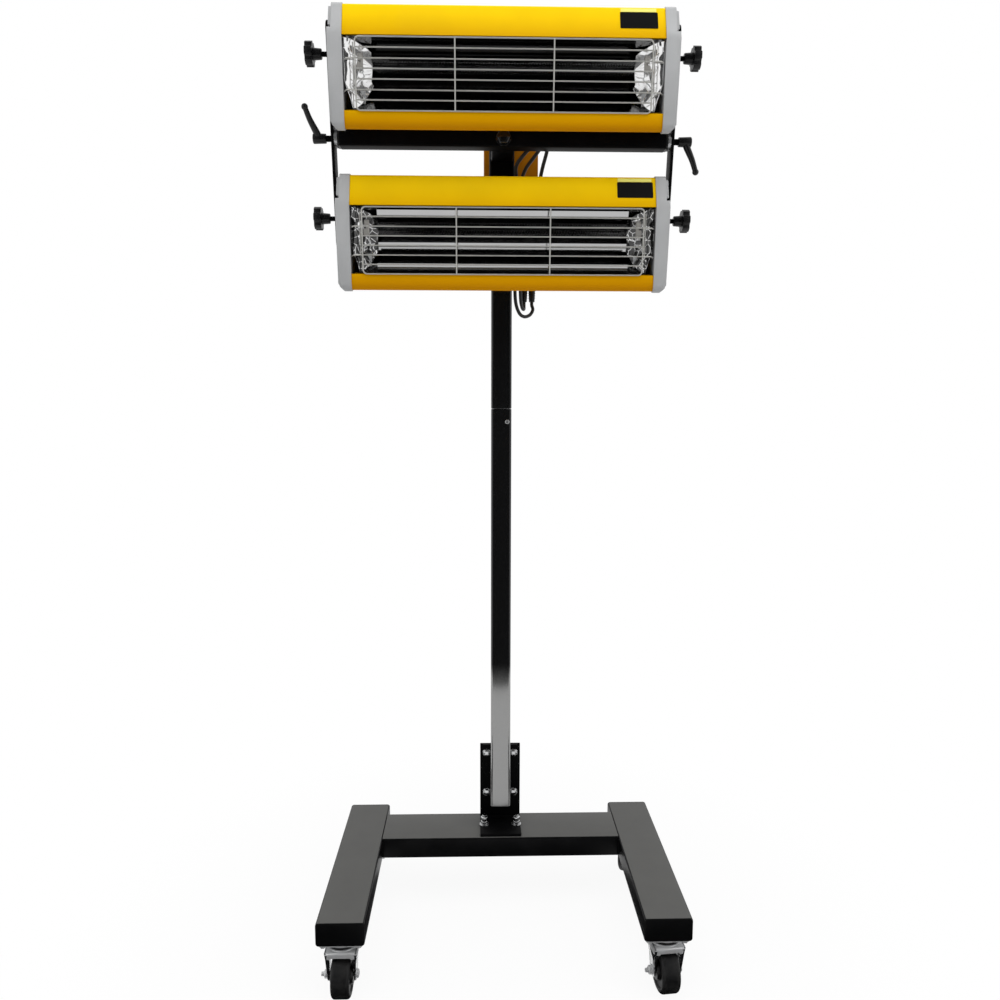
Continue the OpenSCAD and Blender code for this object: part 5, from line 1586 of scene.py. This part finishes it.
class LAMP_OT_grilles(bpy.types.Operator):
    """Model the wire grilles"""
    bl_idname = "lamp.grilles"
    bl_label = "Grilles"

    wires = 8
    hooked = (2, 5)  # These wires run on past the frame and hook into the end caps
    corner = 7
    steps = 6

    def grille(self, size):
        radius = size.wire_d / 2 * 0.84
        u = -size.front - radius + 0.2
        high, low, half = size.open_top - 3, -size.open_low, size.grille_half
        loop = []
        for x, z, start in ((half, high, 0), (-half, high, 90), (-half, low, 180), (half, low, 270)):
            centre = Vector((x - math.copysign(self.corner, x), u,
                             z - (self.corner if z == high else -self.corner)))
            for step in range(self.steps + 1):
                way = math.radians(start + 90 / self.steps * step)
                loop.append(centre + Vector((math.cos(way), 0, math.sin(way))) * self.corner)
        parts = [bent("outer", loop, radius, 3, closed=True)]
        pitch = (high - low) / (self.wires - 1)
        for index in range(1, self.wires - 1):
            z = low + index * pitch
            if index in self.hooked:
                reach = size.half - 1
                points = [(-reach, u + 7, z - 2), (-reach + 5, u + 2.2, z), (-half + 4, u + 1.6, z),
                          (half - 4, u + 1.6, z), (reach - 5, u + 2.2, z), (reach, u + 7, z - 2)]
                parts.append(bent("hooked", points, radius * 0.9, 3))
            else:
                parts.append(rod("wire", (-half, u, z), (half, u, z), radius * 0.95, 10))
        for x in (-half / 3, half / 3):
            y = u - radius * 0.7
            parts.append(rod("upright", (x, y, low), (x, y, high), radius * 0.95, 10))
        for x in (-half - 3.4, half + 3.4):
            parts.append(rod("stay", (x, u + 3, low + pitch * 2), (x, u + 3, high - pitch * 0.5),
                             radius * 0.7, 10))
        return ease(join("grille", *parts), 0)

    def execute(self, context):
        grille = self.grille(in_mm(context.scene.lamp_cassette))
        for which in CASSETTES:
            dress(grille, which + "_wire_grille", cassette_frame(which), "drawn wire", which + "_cassette",
                  which + "_grille")
        discard(grille)
        return {"FINISHED"}


class LAMP_OT_terminals(bpy.types.Operator):
    """Model the terminal covers on the cassettes' backs"""
    bl_idname = "lamp.terminals"
    bl_label = "Terminal covers"

    left, right, low, high, deep = 44, 94, -45, -5, 24
    boot = 12  # Length of a boot, whose axis lies as far behind the housing

    def execute(self, context):
        size = in_mm(context.scene.lamp_cassette)
        for which, xs, near, far in (("upper", (62, 70.2, 78.4), self.low, self.low - self.boot),
                                     ("lower", (69,), self.high, self.high + self.boot)):
            cover = block("cover", (self.left, size.rear, self.low),
                          (self.right, size.rear + self.deep, self.high))
            work(cover, "EDGE", along(Y), bevel(4, 4))
            work(cover, "FACE", facing(Y), inset(2.4, -0.7))
            ease(cover, 0.9)
            parts, y = [cover], size.rear + self.boot
            for x in xs:
                parts.append(ease(rod("boot", (x, y, near), (x, y, far), 3.8, 24, 3.5), 0.3))
                for step in (0.3, 0.55, 0.8):
                    z = near + (far - near) * step
                    parts.append(rod("ring", (x, y, z - 0.5), (x, y, z + 0.5), 3.95, 24))
            spot, body = cassette_frame(which), which + "_cassette"
            wear(place(join(which + "_terminal_cover", *parts), spot), "black plastic", body,
                 which + "_terminal")
            screws = join(which + "_cover_screws", *[
                pan_head("screw", (x, size.rear + self.deep - 0.7, z), Y, 2.4, 1.5)
                for x in (self.left + 5, self.right - 5) for z in (self.low + 5, self.high - 5)])
            wear(place(screws, spot), "bright zinc", body)
        return {"FINISHED"}


# Control box

class LAMP_OT_control_box(bpy.types.Operator):
    """Model the control box with lid, timer knob, rocker switches and glands"""
    bl_idname = "lamp.control_box"
    bl_label = "Control box"

    gland_y = 166
    gland_bores = {60: 2.65, 45: 2.65, 2: 4.5}  # Place along X and radius of the bore

    def glands(self, size):
        parts, y = [], self.gland_y
        nut_low, boot_low = size.low - 6, size.low - 32
        wide, narrow = 6.6, 5.4
        for x, bore in self.gland_bores.items():
            nut = rod("nut", (x, y, size.low), (x, y, nut_low), 7.8, 6)
            work(nut, "EDGE", lambda edge: middle(edge).z < nut_low + 0.1, bevel(1.2, 2))
            boot = rod("boot", (x, y, nut_low), (x, y, boot_low), wide, 32, narrow)
            for piece in (nut, boot):
                ease(piece, 0.5)
            drill = rod("drill", (x, y, size.low + 4), (x, y, size.low - 40), bore, 32)
            boot = carve(join("gland", nut, boot), drill)
            rings = []
            for step in range(4):
                z = size.low - 11 - step * 4.5
                reach = wide - (nut_low - z) / 26 * 1.2
                deselect()
                bpy.ops.mesh.primitive_torus_add(
                    location=(x * MM, y * MM, z * MM), major_radius=reach * MM, minor_radius=0.8 * MM,
                    major_segments=32, minor_segments=8)
                rings.append(fix(bpy.context.object, "ring"))
            parts += [ease(boot, 0), *rings]
        return join("box_glands", *parts)

    def shell(self, size, rockers):
        """The box, its back lid with holes for the switches, and the lid's screws."""
        box = block("box_shell", (size.left, size.near, size.low), (size.right, size.far, size.top))
        work(box, "EDGE", along(Y), bevel(5, 5))
        work(box, "EDGE", lambda edge: middle(edge).y < size.near + 0.1, bevel(1.6, 3))
        work(box, "FACE", facing(Y), inset(2), push(Y, -4))
        wear(ease(box, 0), "box yellow", "stand", "control_box")

        x, start, stop, z = (size.left + size.right) / 2, size.far - 1, size.far + 4, size.timer_z
        lid = block("box_back_lid", (size.left, size.far, size.low), (size.right, size.far + 2, size.top))
        work(lid, "EDGE", along(Y), bevel(5, 5))
        holes = [block("hole", (x - 7.3, start, height - 11.3), (x + 7.3, stop, height + 11.3))
                 for height in rockers]
        carve(lid, *holes, rod("hole", (x, start, z), (x, stop, z), 4.2, 32))
        wear(ease(lid, 0.5), "frame black", "stand", "box_lid")

        screws = [pan_head("screw", (screw_x, size.far + 2, screw_z), Y, 3, 1.6)
                  for screw_x in (size.left + 8, size.right - 8) for screw_z in (size.low + 8, size.top - 8)]
        wear(join("lid_screws", *screws), "bright zinc", "stand")

    def marks(self, centre):
        """Dial marks round the timer knob."""
        marks = []
        for step in range(12):
            around = math.radians(-165 + 30 * step)
            way = Vector((math.sin(around), 0, math.cos(around)))
            reach = 27 if step % 3 == 0 else 25
            marks.append(rod("mark", centre + way * 21.5, centre + way * reach, 0.45, 8))
        wear(ease(join("dial_marks", *marks), 0), "cap grey", "stand")

    def bezels(self, x, face, rockers):
        """Frames round the rockers."""
        bezels = []
        for z in rockers:
            bezel = block("bezel", (x - 9.5, face - 0.5, z - 13.5), (x + 9.5, face + 1, z + 13.5))
            work(bezel, "EDGE", along(Y), bevel(2, 3))
            carve(bezel, block("hole", (x - 7.25, face - 2, z - 11.25), (x + 7.25, face + 2, z + 11.25)))
            bezels.append(ease(bezel, 0.4))
        wear(join("rocker_bezels", *bezels), "black plastic", "stand")

    def timer(self, x, face, z):
        """Timer knob with a skirt and a pointer."""
        knob = rod("knob", (x, face + 3.5, z), (x, face + 17, z), 16.6, 72, 14.8)
        grips, centre = [], Vector((x, 0, z))
        for step in range(12):
            way = Matrix.Rotation(step * math.tau / 12, 3, "Y") @ X
            grips.append(rod("grip", centre + Y * (face + 5) + way * 18.4,
                             centre + Y * (face + 18) + way * 16.8, 2.6, 16))
        carve(knob, *grips)
        dull(knob, 1.1, 3, 45)
        skirt = rod("skirt", (x, face + 0.4, z), (x, face + 4, z), 19, 64, 17.6)
        ease(skirt, 0.5)
        pointer = block("pointer", (x - 0.9, face + 16.4, z + 3), (x + 0.9, face + 17, z + 13.5))
        knob = ease(join("timer_dial", ease(knob, 0), skirt), 0)
        wear(knob, "black plastic", "timer_knob", "timer_knob")
        wear(ease(pointer, 0.2, 1), "cap grey", "timer_knob").name = "timer_pointer"

    def rocker(self, name, x, far, z):
        """Rocker key whose face is bowed and stands out more at its lower end."""
        half = 10
        rocker = block("key_" + name, (x - 7, far - 1.5, z - half), (x + 7, far + 4.4, z + half))
        for sign in (-1, 1):
            work(rocker, "VERT", lambda vert: vert.co.y / MM < far and (vert.co.z / MM - z) * sign > 0,
                 nudge(0, 0, -1.3 * sign))
        work(rocker, "FACE", facing(Y), (bpy.ops.mesh.subdivide, dict(number_cuts=9)))
        for vert in rocker.data.vertices:
            if vert.co.y / MM > far + 4:
                up = (vert.co.z / MM - z) / half
                vert.co.y += (0.5 * up * up - 1.6 * up - 1.4) * MM
        wear(ease(rocker, 0.7, 3, 50), "switch red", name, name)

    def execute(self, context):
        size = in_mm(context.scene.lamp_box)
        x, face = (size.left + size.right) / 2, size.far + 2
        rockers = {"rocker_upper": size.rocker_high, "rocker_lower": size.rocker_low}
        self.shell(size, rockers.values())
        self.marks(Vector((x, face + 0.1, size.timer_z)))
        self.bezels(x, face, rockers.values())
        self.timer(x, face, size.timer_z)
        for name, z in rockers.items():
            self.rocker(name, x, size.far, z)
        wear(self.glands(size), "black plastic", "stand", "cable_glands")
        paint(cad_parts["control_gear"], "works plastic")
        return {"FINISHED"}


OPERATORS = (LAMP_OT_stage, LAMP_OT_leads, LAMP_OT_frame, LAMP_OT_casters, LAMP_OT_mast, LAMP_OT_head,
             LAMP_OT_arms, LAMP_OT_housings, LAMP_OT_caps, LAMP_OT_reflectors, LAMP_OT_grilles,
             LAMP_OT_terminals, LAMP_OT_control_box)
GROUPS = {"lamp_stand": StandSizes, "lamp_mast": MastSizes, "lamp_arms": ArmSizes,
          "lamp_cassette": CassetteSizes, "lamp_box": BoxSizes, "lamp_colours": Colours}


class LAMP_PT_panel(bpy.types.Panel):
    """Lists the lamp's sizes, colours and building steps"""
    bl_idname = "LAMP_PT_panel"
    bl_label = "Drying lamp"
    bl_space_type = "VIEW_3D"
    bl_region_type = "UI"
    bl_category = "Drying lamp"

    def draw(self, context):
        for key, group in GROUPS.items():
            box = self.layout.box()
            for name in group.__annotations__:
                box.prop(getattr(context.scene, key), name)
        for operator in OPERATORS:
            self.layout.operator(operator.bl_idname)


def register():
    for cls in (*GROUPS.values(), *OPERATORS, LAMP_PT_panel):
        bpy.utils.register_class(cls)
    for key, group in GROUPS.items():
        setattr(bpy.types.Scene, key, PointerProperty(type=group))


def unregister():
    for key in GROUPS:
        delattr(bpy.types.Scene, key)
    for cls in reversed((*GROUPS.values(), *OPERATORS, LAMP_PT_panel)):
        bpy.utils.unregister_class(cls)


def main():
    register()
    for operator in OPERATORS:
        group, name = operator.bl_idname.split(".")
        getattr(getattr(bpy.ops, group), name)()
    bpy.context.view_layer.update()


if __name__ == "__main__":
    main()
